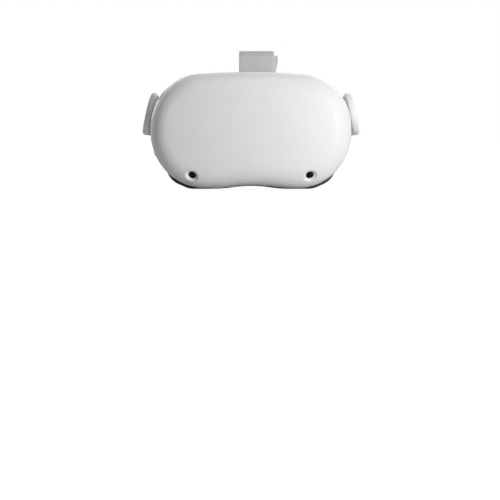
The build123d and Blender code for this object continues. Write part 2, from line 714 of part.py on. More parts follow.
LENS_SEAT_Y = LENS_Y - LENS_DEPTH
LENS_CURVE = (LENS_RADIUS**2 + LENS_BULGE**2) / 2 / LENS_BULGE
with BuildPart() as left_lens:
    with BuildSketch(station(LENS_SEAT_Y)):
        with Locations((EYE_X, EYE_HEIGHT)):
            Circle(LENS_RADIUS)
    extrude(amount=-LENS_EDGE - LENS_BULGE)
    with Locations((EYE_X, LENS_SEAT_Y + LENS_EDGE + LENS_BULGE - LENS_CURVE, EYE_HEIGHT)):
        Sphere(LENS_CURVE, mode=Mode.INTERSECT)
save(left_lens, "left_lens")
mirrored(left_lens, "right_lens")

with BuildPart() as left_lens_bezel:
    with BuildSketch(station(LENS_Y)):
        with Locations((EYE_X, EYE_HEIGHT)):
            Circle(BARREL_RADIUS)
            Circle(LENS_RADIUS - LENS_SEAT, mode=Mode.SUBTRACT)
    extrude(amount=-BEZEL_DEPTH)
    fillet(left_lens_bezel.faces().sort_by(Axis.Y)[-1].edges(), BEZEL_EDGE)
save(left_lens_bezel, "left_lens_bezel")
mirrored(left_lens_bezel, "right_lens_bezel")


def involute_point(base, radius, turn):
    """Point of an involute on the circle of this radius, turned about the gear."""
    swing = sqrt((radius / base) ** 2 - 1)
    angle = swing - atan(swing)
    return Vector(radius * cos(turn + angle), radius * sin(turn + angle))


def gear_tooth(index):
    """Outline of one tooth of the pinion, with involute flanks."""
    base = PITCH_RADIUS * cos(radians(PRESSURE_ANGLE))
    root = PITCH_RADIUS - 1.25 * GEAR_MODULE
    tip = PITCH_RADIUS + GEAR_MODULE
    swing = tan(radians(PRESSURE_ANGLE))
    half = (pi * GEAR_MODULE / 2 - BACKLASH) / 2 / PITCH_RADIUS + swing - radians(PRESSURE_ANGLE)
    middle = 2 * pi * index / GEAR_TEETH
    flanks = []
    for hand in (1, -1):
        points = [involute_point(base, base + (tip - base) * share, -half) for share in (0, 0.5, 1)]
        flanks.append([Vector(point.X, -hand * point.Y).rotate(Axis.Z, degrees(middle)) for point in points])
    inner = [Vector(root * 0.9 * cos(middle + h), root * 0.9 * sin(middle + h)) for h in (half, -half)]
    return flanks, inner


with BuildPart() as ipd_pinion:
    with BuildSketch(station(GEAR_Y)):
        with Locations((0, PINION_Z)):
            Circle(PITCH_RADIUS - 1.25 * GEAR_MODULE)
            for tooth_index in range(GEAR_TEETH):
                (upper, lower), inner = gear_tooth(tooth_index)
                with BuildSketch(Plane.XY, mode=Mode.PRIVATE) as tooth:
                    with BuildLine():
                        ThreePointArc(*upper)
                        Line(upper[2], lower[2])
                        ThreePointArc(*lower)
                        Polyline(lower[0], inner[1], inner[0], upper[0])
                    make_face()
                add(tooth.sketch)
            Circle(PIN_RADIUS + RUNNING_FIT, mode=Mode.SUBTRACT)
    extrude(amount=-GEAR_WIDTH)
save(ipd_pinion, "ipd_pinion")

with BuildPart() as pinion_pin:
    with BuildSketch(station(BRIDGE_Y - BRIDGE[1])):
        with Locations((0, PINION_Z)):
            Circle(PIN_RADIUS)
    extrude(amount=-(PIN_END_Y - BRIDGE_Y + BRIDGE[1]))
    with BuildSketch(station(PIN_END_Y)):
        with Locations((0, PINION_Z)):
            Circle(PIN_RADIUS + PIN_HEAD)
    extrude(amount=-PIN_HEAD)
save(pinion_pin, "pinion_pin")


def rack_teeth(count):
    """Row of straight-sided rack teeth on the pitch line, pointing up."""
    rise = tan(radians(PRESSURE_ANGLE))
    with BuildSketch() as row:
        for index in range(count):
            middle = (index - (count - 1) / 2) * TOOTH_PITCH
            wide = TOOTH_PITCH / 4 + RACK_LINE * rise
            slim = TOOTH_PITCH / 4 - (GEAR_MODULE - BACKLASH / 2) * rise
            top = GEAR_MODULE - BACKLASH / 2
            with BuildLine():
                Polyline(
                    (middle - wide, -RACK_LINE),
                    (middle - slim, top),
                    (middle + slim, top),
                    (middle + wide, -RACK_LINE),
                    close=True,
                )
            make_face()
        with Locations((0, -RACK_LINE - RACK_BACK / 2)):
            Rectangle(2 * RACK_TIP, RACK_BACK)
    return row.sketch


with BuildPart() as left_rack:
    with BuildSketch(station(GEAR_Y)):
        with Locations((0, LOW_RACK_Z)):
            add(rack_teeth(RACK_TEETH))
        with Locations((EYE_X / 2, LOW_RACK_Z - RACK_LINE - RACK_BACK / 2)):
            Rectangle(EYE_X, RACK_BACK)
        with Locations((EYE_X, EYE_HEIGHT)):
            Circle(BARREL_RADIUS, mode=Mode.SUBTRACT)
        with Locations((EYE_X, LOW_RACK_Z)):
            Rectangle(EYE_X, BARREL_RADIUS, mode=Mode.SUBTRACT, align=(Align.MIN, Align.CENTER))
    extrude(amount=-GEAR_WIDTH)
save(left_rack, "left_rack")

with BuildPart() as right_rack:
    with BuildSketch(station(GEAR_Y)):
        with Locations((0, HIGH_RACK_Z)):
            add(rack_teeth(RACK_TEETH).rotate(Axis.Z, 180))
        with Locations((-EYE_X / 2, HIGH_RACK_Z + RACK_LINE + RACK_BACK / 2)):
            Rectangle(EYE_X + LUG[0], RACK_BACK)
    extrude(amount=-GEAR_WIDTH)
    with BuildSketch(station(RAIL_Y + LUG_REACH)):
        with Locations((-EYE_X, HIGH_RACK_Z + RACK_LINE + RACK_BACK)):
            Rectangle(LUG[0], RACK_RUNNER, align=(Align.CENTER, Align.MAX))
    extrude(amount=-(GEAR_Y + GEAR_WIDTH - RAIL_Y - LUG_REACH))
save(right_rack, "right_rack")

# ------------------------------------------------------------- face shroud
with BuildPart() as face_shroud:
    with BuildSketch(station(SHROUD_Y)):
        with Locations((0, EYE_HEIGHT)):
            RectangleRounded(SHROUD[0], SHROUD[2], SHROUD_CORNER)
        with Locations((-EYE_X, EYE_HEIGHT), (EYE_X, EYE_HEIGHT)):
            SlotOverall(
                2 * (BARREL_RADIUS + EYE_TRAVEL + LENS_GAP),
                2 * (BARREL_RADIUS + LENS_GAP),
                mode=Mode.SUBTRACT,
            )
        with Locations((0, SENSOR_Z)):
            Circle(SENSOR_RADIUS, mode=Mode.SUBTRACT)
    extrude(amount=-SHROUD[1])
    with BuildSketch(station(SHROUD_Y + SHROUD[1])):
        with Locations((0, EYE_HEIGHT)):
            RectangleRounded(
                SHROUD[0] - 2 * SHROUD_LEDGE, SHROUD[2] - 2 * SHROUD_LEDGE, SHROUD_CORNER - SHROUD_LEDGE
            )
            RectangleRounded(
                SHROUD[0] - 3 * SHROUD_LEDGE, SHROUD[2] - 3 * SHROUD_LEDGE,
                SHROUD_CORNER - 1.5 * SHROUD_LEDGE, mode=Mode.SUBTRACT,
            )
    extrude(amount=-WALL)
save(face_shroud, "face_shroud")

with BuildPart() as proximity_sensor:
    with BuildSketch(station(SHROUD_Y + SHROUD[1] + GLASS_THICK - SENSOR_DEPTH)):
        with Locations((0, SENSOR_Z)):
            Circle(SENSOR_RADIUS)
    extrude(amount=-SENSOR_DEPTH)
    fillet(proximity_sensor.faces().sort_by(Axis.Y)[-1].edges(), SENSOR_EDGE)
save(proximity_sensor, "proximity_sensor")

# ------------------------------------------------------- ports and controls
with BuildPart() as usb_port:
    with BuildSketch(button_plane.offset(-PORT_SINK)):
        SlotOverall(USB[0] + 2 * USB_FIT, USB[1] + 2 * USB_FIT)
        SlotOverall(USB[0] - 2 * USB_INSET, USB[1] - 2 * USB_INSET, mode=Mode.SUBTRACT)
    extrude(amount=-USB[2])
    with BuildSketch(button_plane.offset(-PORT_SINK - USB[2])):
        SlotOverall(USB[0] + 2 * USB_FIT, USB[1] + 2 * USB_FIT)
    extrude(amount=-USB_BACK)
    with BuildSketch(button_plane.offset(-PORT_SINK - USB[2])):
        Rectangle(USB_TONGUE[0], USB_TONGUE[1])
    extrude(amount=USB_TONGUE[2])
save(usb_port, "usb_port")

with BuildPart() as audio_jack:
    with BuildSketch(jack_plane.offset(-PORT_SINK / 2)):
        Circle(JACK_RADIUS)
    extrude(amount=-JACK_DEPTH)
    with BuildSketch(jack_plane.offset(-PORT_SINK / 2)):
        Circle(JACK_BORE)
    extrude(amount=-JACK_DEPTH + USB_BACK, mode=Mode.SUBTRACT)
    add(outer_form, mode=Mode.INTERSECT)
save(audio_jack, "audio_jack")

with BuildPart() as status_led:
    with BuildSketch(led_plane.offset(1)):
        Circle(LED_RADIUS)
    extrude(amount=-2 * WALL)
    add(outer_form, mode=Mode.INTERSECT)
save(status_led, "status_led")

with BuildPart() as power_button:
    with BuildSketch(power_plane.offset(BUTTON_PROUD)):
        SlotOverall(*BUTTON)
    extrude(amount=-2 * BUTTON_PROUD - WALL)
    power_axis = Axis(power_plane.origin, power_plane.z_dir)
    fillet(power_button.faces().sort_by(power_axis)[-1].edges(), BUTTON_EDGE)
    with BuildSketch(power_plane.offset(-WALL - BUTTON_PROUD)):
        SlotOverall(BUTTON[0] + 2 * BUTTON_SKIRT[0], BUTTON[1] + 2 * BUTTON_SKIRT[0])
    extrude(amount=-BUTTON_SKIRT[1])
save(power_button, "power_button")

with BuildPart() as power_switch:
    with BuildSketch(power_plane.offset(-CARRIER_DEPTH)):
        Rectangle(BUTTON[0] + 5 * SWITCH_WALL, BUTTON[1] + 2 * BUTTON_SKIRT[0])
    extrude(amount=-SWITCH_WALL)
    with BuildSketch(power_plane.offset(-CARRIER_DEPTH)):
        Circle(SWITCH_PIN)
    extrude(amount=CARRIER_GAP - BUTTON_PROUD - BUTTON_SKIRT[1] - BUTTON_TRAVEL - 2 * RUNNING_FIT)
    with BuildSketch(power_plane.offset(-CARRIER_DEPTH)):
        with GridLocations(BUTTON[0] + 4 * SWITCH_WALL, 1, 2, 1):
            Rectangle(SWITCH_WALL, BUTTON[1] + 2 * BUTTON_SKIRT[0])
    extrude(amount=CARRIER_DEPTH - WALL / 2)
    add(front_cover.part, mode=Mode.SUBTRACT)
save(power_switch, "power_switch")

with BuildPart() as volume_rocker:
    with BuildSketch(rocker_plane.offset(ROCKER_PROUD)):
        SlotOverall(*ROCKER)
    extrude(amount=-ROCKER_PROUD - WALL - ROCKER_SKIRT)
    rocker_axis = Axis(rocker_plane.origin, rocker_plane.z_dir)
    fillet(volume_rocker.faces().sort_by(rocker_axis)[-1].edges(), BUTTON_EDGE)
    with Locations(rocker_plane.offset(-ROCKER_AXLE)):
        Cylinder(ROCKER_PIN, ROCKER[1] + 2 * BRACKET[1], rotation=(90, 0, 0))
save(volume_rocker, "volume_rocker")

with BuildPart() as volume_bracket:
    with BuildSketch(rocker_plane.offset(-CARRIER_DEPTH)):
        Rectangle(BRACKET[0], ROCKER[1] + 3 * BRACKET[1])
    extrude(amount=-SWITCH_WALL)
    with BuildSketch(rocker_plane.offset(-CARRIER_DEPTH)):
        with GridLocations(1, ROCKER[1] + 2 * BRACKET[1] + 4 * RUNNING_FIT, 1, 2):
            Rectangle(*BRACKET)
    extrude(amount=CARRIER_DEPTH - WALL / 2)
    add(front_cover.part, mode=Mode.SUBTRACT)
    with Locations(rocker_plane.offset(-ROCKER_AXLE)):
        Cylinder(
            ROCKER_PIN + RUNNING_FIT, 2 * (ROCKER[1] + BRACKET[1]), rotation=(90, 0, 0), mode=Mode.SUBTRACT
        )
save(volume_bracket, "volume_bracket")

# -------------------------------------------------------- facial interface
FACE_CENTRE_Y = BACK_Y + FACE_DEPTH + FACE_RADIUS
taper = radians(FACE_TAPER)
drop = FACE_TOP - FACE_CORNER - CHEEK_CORNER
corner_reach = CHEEK_REACH + (CHEEK_CORNER - FACE_CORNER + drop * sin(taper)) / cos(taper)
HUMP_RUN = CHEEK_REACH / 3
hump_turn = 2 * degrees(atan(FACE_HUMP / 2 / HUMP_RUN))
hump_bend = (HUMP_RUN**2 + (FACE_HUMP / 2) ** 2) / FACE_HUMP


def face_section(y, inset=0.0, nose=True):
    """Outline of the interface at depth y, drawn in by inset, with the nose gap."""
    with BuildSketch(station(y)) as section:
        with BuildLine():
            brow = Line((0, FACE_TOP - inset), (corner_reach, FACE_TOP - inset))
            temple = JernArc(brow @ 1, (1, 0), FACE_CORNER - inset, -90 - FACE_TAPER)
            small = max(CHEEK_CORNER - inset, 1.0)
            jaw_start = (
                CHEEK_REACH + small * cos(taper),
                CHEEK_CORNER - small * sin(taper),
            )
            edge = Line(temple @ 1, jaw_start)
            jaw = JernArc(edge @ 1, edge % 1, small, FACE_TAPER - 90)
            sole = Line(jaw @ 1, (2 * HUMP_RUN, (jaw @ 1).Y))
            rise = JernArc(sole @ 1, (-1, 0), hump_bend - inset, -hump_turn)
            JernArc(rise @ 1, rise % 1, hump_bend + inset, hump_turn)
            mirror(about=Plane.YZ)
        make_face()
        if nose:
            with Locations((0, NOSE_HEIGHT - NOSE_RADIUS)):
                Circle(NOSE_RADIUS + inset, mode=Mode.SUBTRACT)
            if inset < NOSE_FILLET:
                for hand in (-1, 1):
                    near = (hand * NOSE_HALF, 0, 0)
                    fillet(section.vertices().sort_by_distance(near)[0], NOSE_FILLET - inset)
    return section.sketch


FACE_REACH = FACE_RADIUS / 2
NOSE_RADIUS = (NOSE_HALF**2 + NOSE_HEIGHT**2) / 2 / NOSE_HEIGHT
with BuildPart() as interface_frame:
    extrude(face_section(BACK_Y + FLANGE_DEPTH), amount=-FACE_REACH)
    extrude(face_section(BACK_Y + FLANGE_DEPTH, FRAME_WALL), amount=-FACE_REACH, mode=Mode.SUBTRACT)
    extrude(face_section(BACK_Y, 0, nose=False), amount=-FLANGE_DEPTH)
    with BuildSketch(station(BACK_Y)):
        with Locations((0, EYE_HEIGHT)):
            RectangleRounded(
                SHROUD[0] - SHROUD_LEDGE, SHROUD[2] - SHROUD_LEDGE, SHROUD_CORNER - SHROUD_LEDGE / 2
            )
    extrude(amount=-FLANGE_DEPTH, mode=Mode.SUBTRACT)
    with Locations((0, FACE_CENTRE_Y, EYE_HEIGHT)):
        Cylinder(FACE_RADIUS, 3 * VISOR_TOP, mode=Mode.SUBTRACT)
    with BuildSketch(station(BACK_Y)):
        with Locations(*[(x, z) for x in (-HOOK_X, HOOK_X) for z in HOOK_Z]):
            SlotOverall(*HOOK)
    extrude(amount=WALL + HOOK_FIT)
save(interface_frame, "interface_frame")

with BuildPart() as face_foam:
    extrude(face_section(BACK_Y + FLANGE_DEPTH, FOAM_STEP), amount=-FACE_REACH)
    extrude(
        face_section(BACK_Y + FLANGE_DEPTH, FOAM_STEP + FOAM_WIDTH),
        amount=-FACE_REACH,
        mode=Mode.SUBTRACT,
    )
    with Locations((0, FACE_CENTRE_Y, EYE_HEIGHT)):
        Cylinder(FACE_RADIUS, 3 * VISOR_TOP, mode=Mode.INTERSECT)
        Cylinder(FACE_RADIUS - FOAM_DEPTH, 3 * VISOR_TOP, mode=Mode.SUBTRACT)
save(face_foam, "face_foam")

# -------------------------------------------------------------- strap arms
tangent_point = Vector(SIDE_CENTRE[0] + SIDE_RADIUS * cos(LEAN), SIDE_CENTRE[1] + SIDE_RADIUS * sin(LEAN))
arm_normal = Vector(cos(LEAN), sin(LEAN))
arm_middle = tangent_point + (ARM_GAP + ARM_THICK / 2) * arm_normal
ARM_X = arm_middle.X - (PIVOT_Z - arm_middle.Y) * tan(LEAN)
ARM_RUN = ARM_END_Y - PIVOT_Y
ARM_STATIONS = [PIVOT_Y + share * ARM_RUN for share in (-0.32, 0, 0.32, 0.66, 1, 1.1)]


def arm_slab(low, high):
    """Leaned slab that the arm is cut from, between two shares of its thickness."""
    with BuildPart() as slab:
        for y in ARM_STATIONS:
            share = min(max((y - PIVOT_Y) / (ARM_END_Y - PIVOT_Y), 0), 1)
            share = share**2 * (3 - 2 * share)
            thick = ARM_THICK + share * (ARM_END_THICK - ARM_THICK)
            middle_x = ARM_X + share * (BAND_RADIUS - BAND_THICK / 2 - ARM_X)
            middle_z = PIVOT_Z + share * (STRAP_Z - PIVOT_Z)
            with BuildSketch(station(y)):
                with Locations(Location((middle_x, middle_z), ARM_LEAN * (1 - share))):
                    with Locations((thick * (low + high) / 2, 0)):
                        Rectangle(thick * (high - low), VISOR_TOP)
        loft()
    return slab.part


with BuildPart() as arm_form:
    with BuildSketch(Plane.YZ):
        with BuildLine():
            front = ThreePointArc(
                (PIVOT_Y, PIVOT_Z + ARM_TALL / 2),
                (PIVOT_Y - ARM_TALL / 2, PIVOT_Z),
                (PIVOT_Y, PIVOT_Z - ARM_TALL / 2),
            )
            lower = Spline(
                front @ 1, (ARM_END_Y, STRAP_Z - ARM_END_TALL / 2), tangents=[(1, 0), (1, 0)]
            )
            tail = Line(lower @ 1, (ARM_END_Y, STRAP_Z + ARM_END_TALL / 2))
            Spline(tail @ 1, front @ 0, tangents=[(-1, 0), (-1, 0)])
        make_face()
    extrude(amount=2 * SIDE_X)
    add(arm_slab(-0.5, 0.5), mode=Mode.INTERSECT)
    arm_sides = arm_form.faces().sort_by(Axis.X)
    fillet(arm_sides[0].edges() + arm_sides[-1].edges(), ARM_EDGE)

# ----------------------------------------------------------- strap ribbons
STRAP_START = ARM_END_Y - STRAP_GRIP
CURVE_X = BAND_RADIUS - BAND_CURVE


def band_section(plane, proud=0.0, half=BAND_OUTER + 2):
    """Curved slice through the ribbon on a plane that holds its upright axis."""
    with BuildSketch(plane) as section:
        with Locations((CURVE_X, STRAP_Z)):
            Circle(BAND_CURVE + proud)
            Circle(BAND_CURVE - BAND_THICK - proud, mode=Mode.SUBTRACT)
        with Locations((BAND_RADIUS, STRAP_Z)):
            Rectangle(BAND_RADIUS / 2, 2 * half, mode=Mode.INTERSECT)
    return section.sketch


BAND_AXIS = Axis((0, BAND_CENTRE_Y, 0), (0, 0, 1))
with BuildPart() as ribbon:
    extrude(band_section(station(BAND_CENTRE_Y)), amount=BAND_CENTRE_Y - STRAP_START)
    mirror(about=Plane.YZ)
    revolve(band_section(station(BAND_CENTRE_Y)), axis=BAND_AXIS, revolution_arc=180)

with BuildPart() as ribbon_outline:
    with BuildSketch(Plane.YZ) as side_view:
        with BuildLine():
            root = Line((STRAP_START, STRAP_Z), (STRAP_START, STRAP_Z + SIDE_HALF))
            grip = Line(root @ 1, (ARM_END_Y + STRAP_GRIP, STRAP_Z + SIDE_HALF))
            flare = Spline(grip @ 1, (LEVEL_Y, STRAP_Z + BAND_OUTER), tangents=[(1, 0), (1, 0)])
            back = Line(flare @ 1, (BAND_CENTRE_Y + 2 * BAND_RADIUS, STRAP_Z + BAND_OUTER))
            inner = Line(back @ 1, (BAND_CENTRE_Y + 2 * BAND_RADIUS, STRAP_Z + BAND_INNER))
            level = Line(inner @ 1, (LEVEL_Y, STRAP_Z + BAND_INNER))
            fork = Spline(level @ 1, (FORK_Y, STRAP_Z), tangents=[(-1, 0), (0, -1)])
            Line(fork @ 1, root @ 0)
        make_face()
    extrude(amount=2 * BAND_RADIUS, both=True)

with BuildPart() as web_outline:
    add(ribbon_outline.part)
    mirror(about=Plane.XY.offset(STRAP_Z))

with BuildPart() as strap_web:
    add(ribbon.part)
    add(web_outline.part, mode=Mode.INTERSECT)

with BuildPart() as left_side_strap:
    add(strap_web.part)
    split(bisect_by=Plane.XZ.offset(-FORK_Y), keep=Keep.TOP)
    split(bisect_by=Plane.YZ, keep=Keep.TOP)
save(left_side_strap, "left_side_strap")
mirrored(left_side_strap, "right_side_strap")

for level, keep in (("upper", Keep.TOP), ("lower", Keep.BOTTOM)):
    with BuildPart() as band:
        add(strap_web.part)
        split(bisect_by=Plane.XZ.offset(-FORK_Y), keep=Keep.BOTTOM)
        split(bisect_by=Plane.XY.offset(STRAP_Z), keep=keep)
    save(band, f"{level}_rear_band")
    if level == "upper":
        upper_rear_band = band

# ------------------------------------------------ arm covers and pivot hubs
DUCT_END = PIVOT_Y + DUCT_REACH
with BuildPart() as duct:
    with BuildSketch(Plane.YZ):
        with Locations(((PIVOT_Y + DUCT_END) / 2, PIVOT_Z - DUCT_DROP)):
            SlotOverall(DUCT_REACH + 2 * DUCT_HALF, 2 * DUCT_HALF, rotation=-DUCT_TURN)
    extrude(amount=2 * SIDE_X)
    add(arm_slab(-DUCT_SHARE, DUCT_SHARE), mode=Mode.INTERSECT)

with BuildPart() as left_arm_cover:
    add(arm_form.part)
    add(arm_slab(ARM_SPLIT, 1), mode=Mode.INTERSECT)
    add(left_side_strap.part, mode=Mode.SUBTRACT)
    add(duct.part, mode=Mode.SUBTRACT)
save(left_arm_cover, "left_arm_cover")
mirrored(left_arm_cover, "right_arm_cover")

with BuildPart() as left_arm_base:
    add(arm_form.part)
    add(arm_slab(-1, ARM_SPLIT), mode=Mode.INTERSECT)
    add(left_side_strap.part, mode=Mode.SUBTRACT)
    add(duct.part, mode=Mode.SUBTRACT)
    with BuildSketch(PIVOT_PLANE) as sound_way:
        Circle(HUB_BORE)
    extrude(amount=ARM_X, mode=Mode.SUBTRACT)
    with BuildSketch(Plane.YZ) as sound_port:
        with Locations((DUCT_END - PORT[0] / 2, PIVOT_Z - 2 * DUCT_DROP)):
            SlotOverall(*PORT, rotation=-DUCT_TURN)
    extrude(amount=BAND_RADIUS, mode=Mode.SUBTRACT)
save(left_arm_base, "left_arm_base")
mirrored(left_arm_base, "right_arm_base")

with BuildPart() as left_pivot_hub:
    with BuildSketch(PIVOT_PLANE.offset(BUSH_INNER_X + HUB_END)):
        Circle(HUB_RADIUS)
        Circle(HUB_BORE, mode=Mode.SUBTRACT)
    extrude(amount=ARM_X - BUSH_INNER_X)
    add(arm_slab(-0.5, 4), mode=Mode.SUBTRACT)
save(left_pivot_hub, "left_pivot_hub")
mirrored(left_pivot_hub, "right_pivot_hub")

# --------------------------------------------------------------- top strap
TONGUE_LINE = TOP_RADIUS_IN + TOP_THICK / 2
STRAP_LINE = TONGUE_LINE + TOP_THICK + LAYER_GAP
TOP_SIDE = Plane.YZ.offset(TOP_SHIFT - TOP_WIDTH / 2)
bend_y = RISER_Y + RISER_BEND
bend_z = PIVOT_Z + sqrt((TONGUE_LINE - RISER_BEND) ** 2 - (bend_y - PIVOT_Y) ** 2)
lead = degrees(asin((bend_y - PIVOT_Y) / (TONGUE_LINE - RISER_BEND)))


def around_pivot(radius, angle):
    """Point at this radius from the arm pivot, angle degrees behind upright."""
    return Vector(PIVOT_Y + radius * sin(radians(angle)), PIVOT_Z + radius * cos(radians(angle)))


with BuildPart() as top_strap_tongue:
    with BuildSketch(TOP_SIDE):
        with BuildLine() as tongue_path:
            riser = Line((RISER_Y, CLIP_Z + CLIP_ROD), (RISER_Y, bend_z))
            crook = JernArc(riser @ 1, (0, 1), RISER_BEND, lead - 90)
            JernArc(crook @ 1, crook % 1, TONGUE_LINE, lead - TONGUE_END)
        trace(line_width=TOP_THICK)
    extrude(amount=TOP_WIDTH)
save(top_strap_tongue, "top_strap_tongue")

BAND_TOP = STRAP_Z + BAND_OUTER - TOP_THICK
BAND_BACK = BAND_CENTRE_Y + CURVE_X + sqrt(BAND_CURVE**2 - BAND_OUTER**2) - BAND_THICK / 2
reach = Vector(BAND_BACK - PIVOT_Y, BAND_TOP - PIVOT_Z)
SLOPE = degrees(asin(STRAP_LINE / reach.length) - atan(reach.Y / reach.X))
with BuildPart() as top_strap:
    with BuildSketch(TOP_SIDE):
        with BuildLine() as strap_path:
            over = JernArc(
                around_pivot(STRAP_LINE, LAYER_START),
                (cos(radians(LAYER_START)), -sin(radians(LAYER_START))),
                STRAP_LINE,
                LAYER_START - SLOPE,
            )
            Line(over @ 1, (BAND_BACK, BAND_TOP))
        trace(line_width=TOP_THICK)
    extrude(amount=TOP_WIDTH)
    add(upper_rear_band.part, mode=Mode.SUBTRACT)
    add(top_strap.solids().sort_by(SortBy.VOLUME)[-1], mode=Mode.REPLACE)
save(top_strap, "top_strap")

# ------------------------------------------------------------ strap sliders
SLIDER_Z = STRAP_Z - (BAND_OUTER + BAND_INNER) / 2
SLIDER_HALF = (BAND_OUTER - BAND_INNER) / 2
start_turn = radians(90 - SLIDER_ANGLE - SLIDER_SPAN / 2)
slider_plane = Plane(
    origin=(0, BAND_CENTRE_Y, 0),
    x_dir=(cos(start_turn), sin(start_turn), 0),
    z_dir=(sin(start_turn), -cos(start_turn), 0),
)
with BuildPart() as left_slider:
    for grow, mode in ((SLIDER_FIT + SLIDER_WALL, Mode.ADD), (SLIDER_FIT, Mode.SUBTRACT)):
        with BuildSketch(slider_plane) as slider_slice:
            with Locations((CURVE_X, STRAP_Z)):
                Circle(BAND_CURVE + grow)
                Circle(BAND_CURVE - BAND_THICK - grow, mode=Mode.SUBTRACT)
            with Locations((BAND_RADIUS, SLIDER_Z)):
                Rectangle(BAND_RADIUS / 2, 2 * (SLIDER_HALF + grow), mode=Mode.INTERSECT)
        revolve(axis=BAND_AXIS, revolution_arc=SLIDER_SPAN, mode=mode)
save(left_slider, "left_slider")
mirrored(left_slider, "right_slider")
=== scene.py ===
"""Looks of the standalone VR headset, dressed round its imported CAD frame."""

import json
import logging
import math
from collections.abc import Callable, Iterable, Sequence
from dataclasses import dataclass, field
from enum import Enum

import bpy
import numpy as np
from mathutils import Matrix, Vector

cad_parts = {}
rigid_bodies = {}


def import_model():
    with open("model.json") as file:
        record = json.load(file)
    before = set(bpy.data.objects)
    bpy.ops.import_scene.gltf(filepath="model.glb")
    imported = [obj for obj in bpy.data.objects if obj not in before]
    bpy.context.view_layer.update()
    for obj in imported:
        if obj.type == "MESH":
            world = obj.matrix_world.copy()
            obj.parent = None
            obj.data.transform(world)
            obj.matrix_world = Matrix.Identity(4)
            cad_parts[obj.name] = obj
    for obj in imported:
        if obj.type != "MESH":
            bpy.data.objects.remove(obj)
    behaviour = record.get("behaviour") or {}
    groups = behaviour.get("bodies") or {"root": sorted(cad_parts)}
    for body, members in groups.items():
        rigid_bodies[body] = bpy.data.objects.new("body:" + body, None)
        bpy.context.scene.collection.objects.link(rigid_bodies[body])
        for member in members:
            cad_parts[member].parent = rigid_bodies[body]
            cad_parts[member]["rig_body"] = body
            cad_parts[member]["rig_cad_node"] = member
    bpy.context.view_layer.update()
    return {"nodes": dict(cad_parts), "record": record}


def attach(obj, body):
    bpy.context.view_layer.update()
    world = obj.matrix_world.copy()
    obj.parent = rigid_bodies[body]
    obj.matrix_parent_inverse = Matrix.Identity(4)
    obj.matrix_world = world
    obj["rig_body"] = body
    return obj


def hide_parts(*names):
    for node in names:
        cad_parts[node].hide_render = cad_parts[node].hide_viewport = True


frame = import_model()

log = logging.getLogger("headset")
Point = tuple[float, float, float]
Path = list[tuple[float, float]]
Row = tuple[list[Vector], list[Vector]]


class Slot(Enum):
    """Material slots of the record that new pieces take their finish from."""

    STRAP = "strap_fabric"
    FOAM = "foam_black"


class Body(Enum):
    """Bodies of the frame that new pieces ride on."""

    VISOR = "visor"
    STRAP = "head_strap"
    FACE = "facial_interface"


# ------------------------------------------------------------------ shading
class Value:
    """A number on a shader socket, with arithmetic written as Python."""

    def __init__(self, paint: "Paint", socket: bpy.types.NodeSocket) -> None:
        """Wrap one output socket of the paint's node tree."""
        self.paint = paint
        self.socket = socket

    def _math(self, operation: str, *terms: "Value | float") -> "Value":
        """Add a Math node that works on the terms.

        Args:
            operation: Blender's name of the operation.
            terms: Values or plain numbers, in socket order.

        Returns:
            The node's result.
        """
        return self.paint.node("ShaderNodeMath", {"operation": operation}, dict(enumerate(terms)))

    def __add__(self, other: "Value | float") -> "Value":
        """Sum of two values."""
        return self._math("ADD", self, other)

    __radd__ = __add__

    def __sub__(self, other: "Value | float") -> "Value":
        """Difference of two values."""
        return self._math("SUBTRACT", self, other)

    def __rsub__(self, other: float) -> "Value":
        """A number less this value."""
        return self._math("SUBTRACT", other, self)

    def __mul__(self, other: "Value | float") -> "Value":
        """Product of two values."""
        return self._math("MULTIPLY", self, other)

    __rmul__ = __mul__

    def sine(self) -> "Value":
        """Sine of the value."""
        return self._math("SINE", self)

    def size(self) -> "Value":
        """Absolute value."""
        return self._math("ABSOLUTE", self)

    def root(self) -> "Value":
        """Square root of the value."""
        return self._math("SQRT", self)

    def over(self, other: float) -> "Value":
        """One where the value is above the other, and zero elsewhere."""
        return self._math("GREATER_THAN", self, other)

    def spread(self, low: float, high: float, first: float = 0.0, last: float = 1.0) -> "Value":
        """Map one range onto another, held at both ends.

        Args:
            low: Value that gives first.
            high: Value that gives last.
            first: Result at low and below.
            last: Result at high and above.

        Returns:
            The mapped value.
        """
        return self.paint.node(
            "ShaderNodeMapRange",
            {"clamp": True},
            {0: self, 1: low, 2: high, 3: first, 4: last},
        )


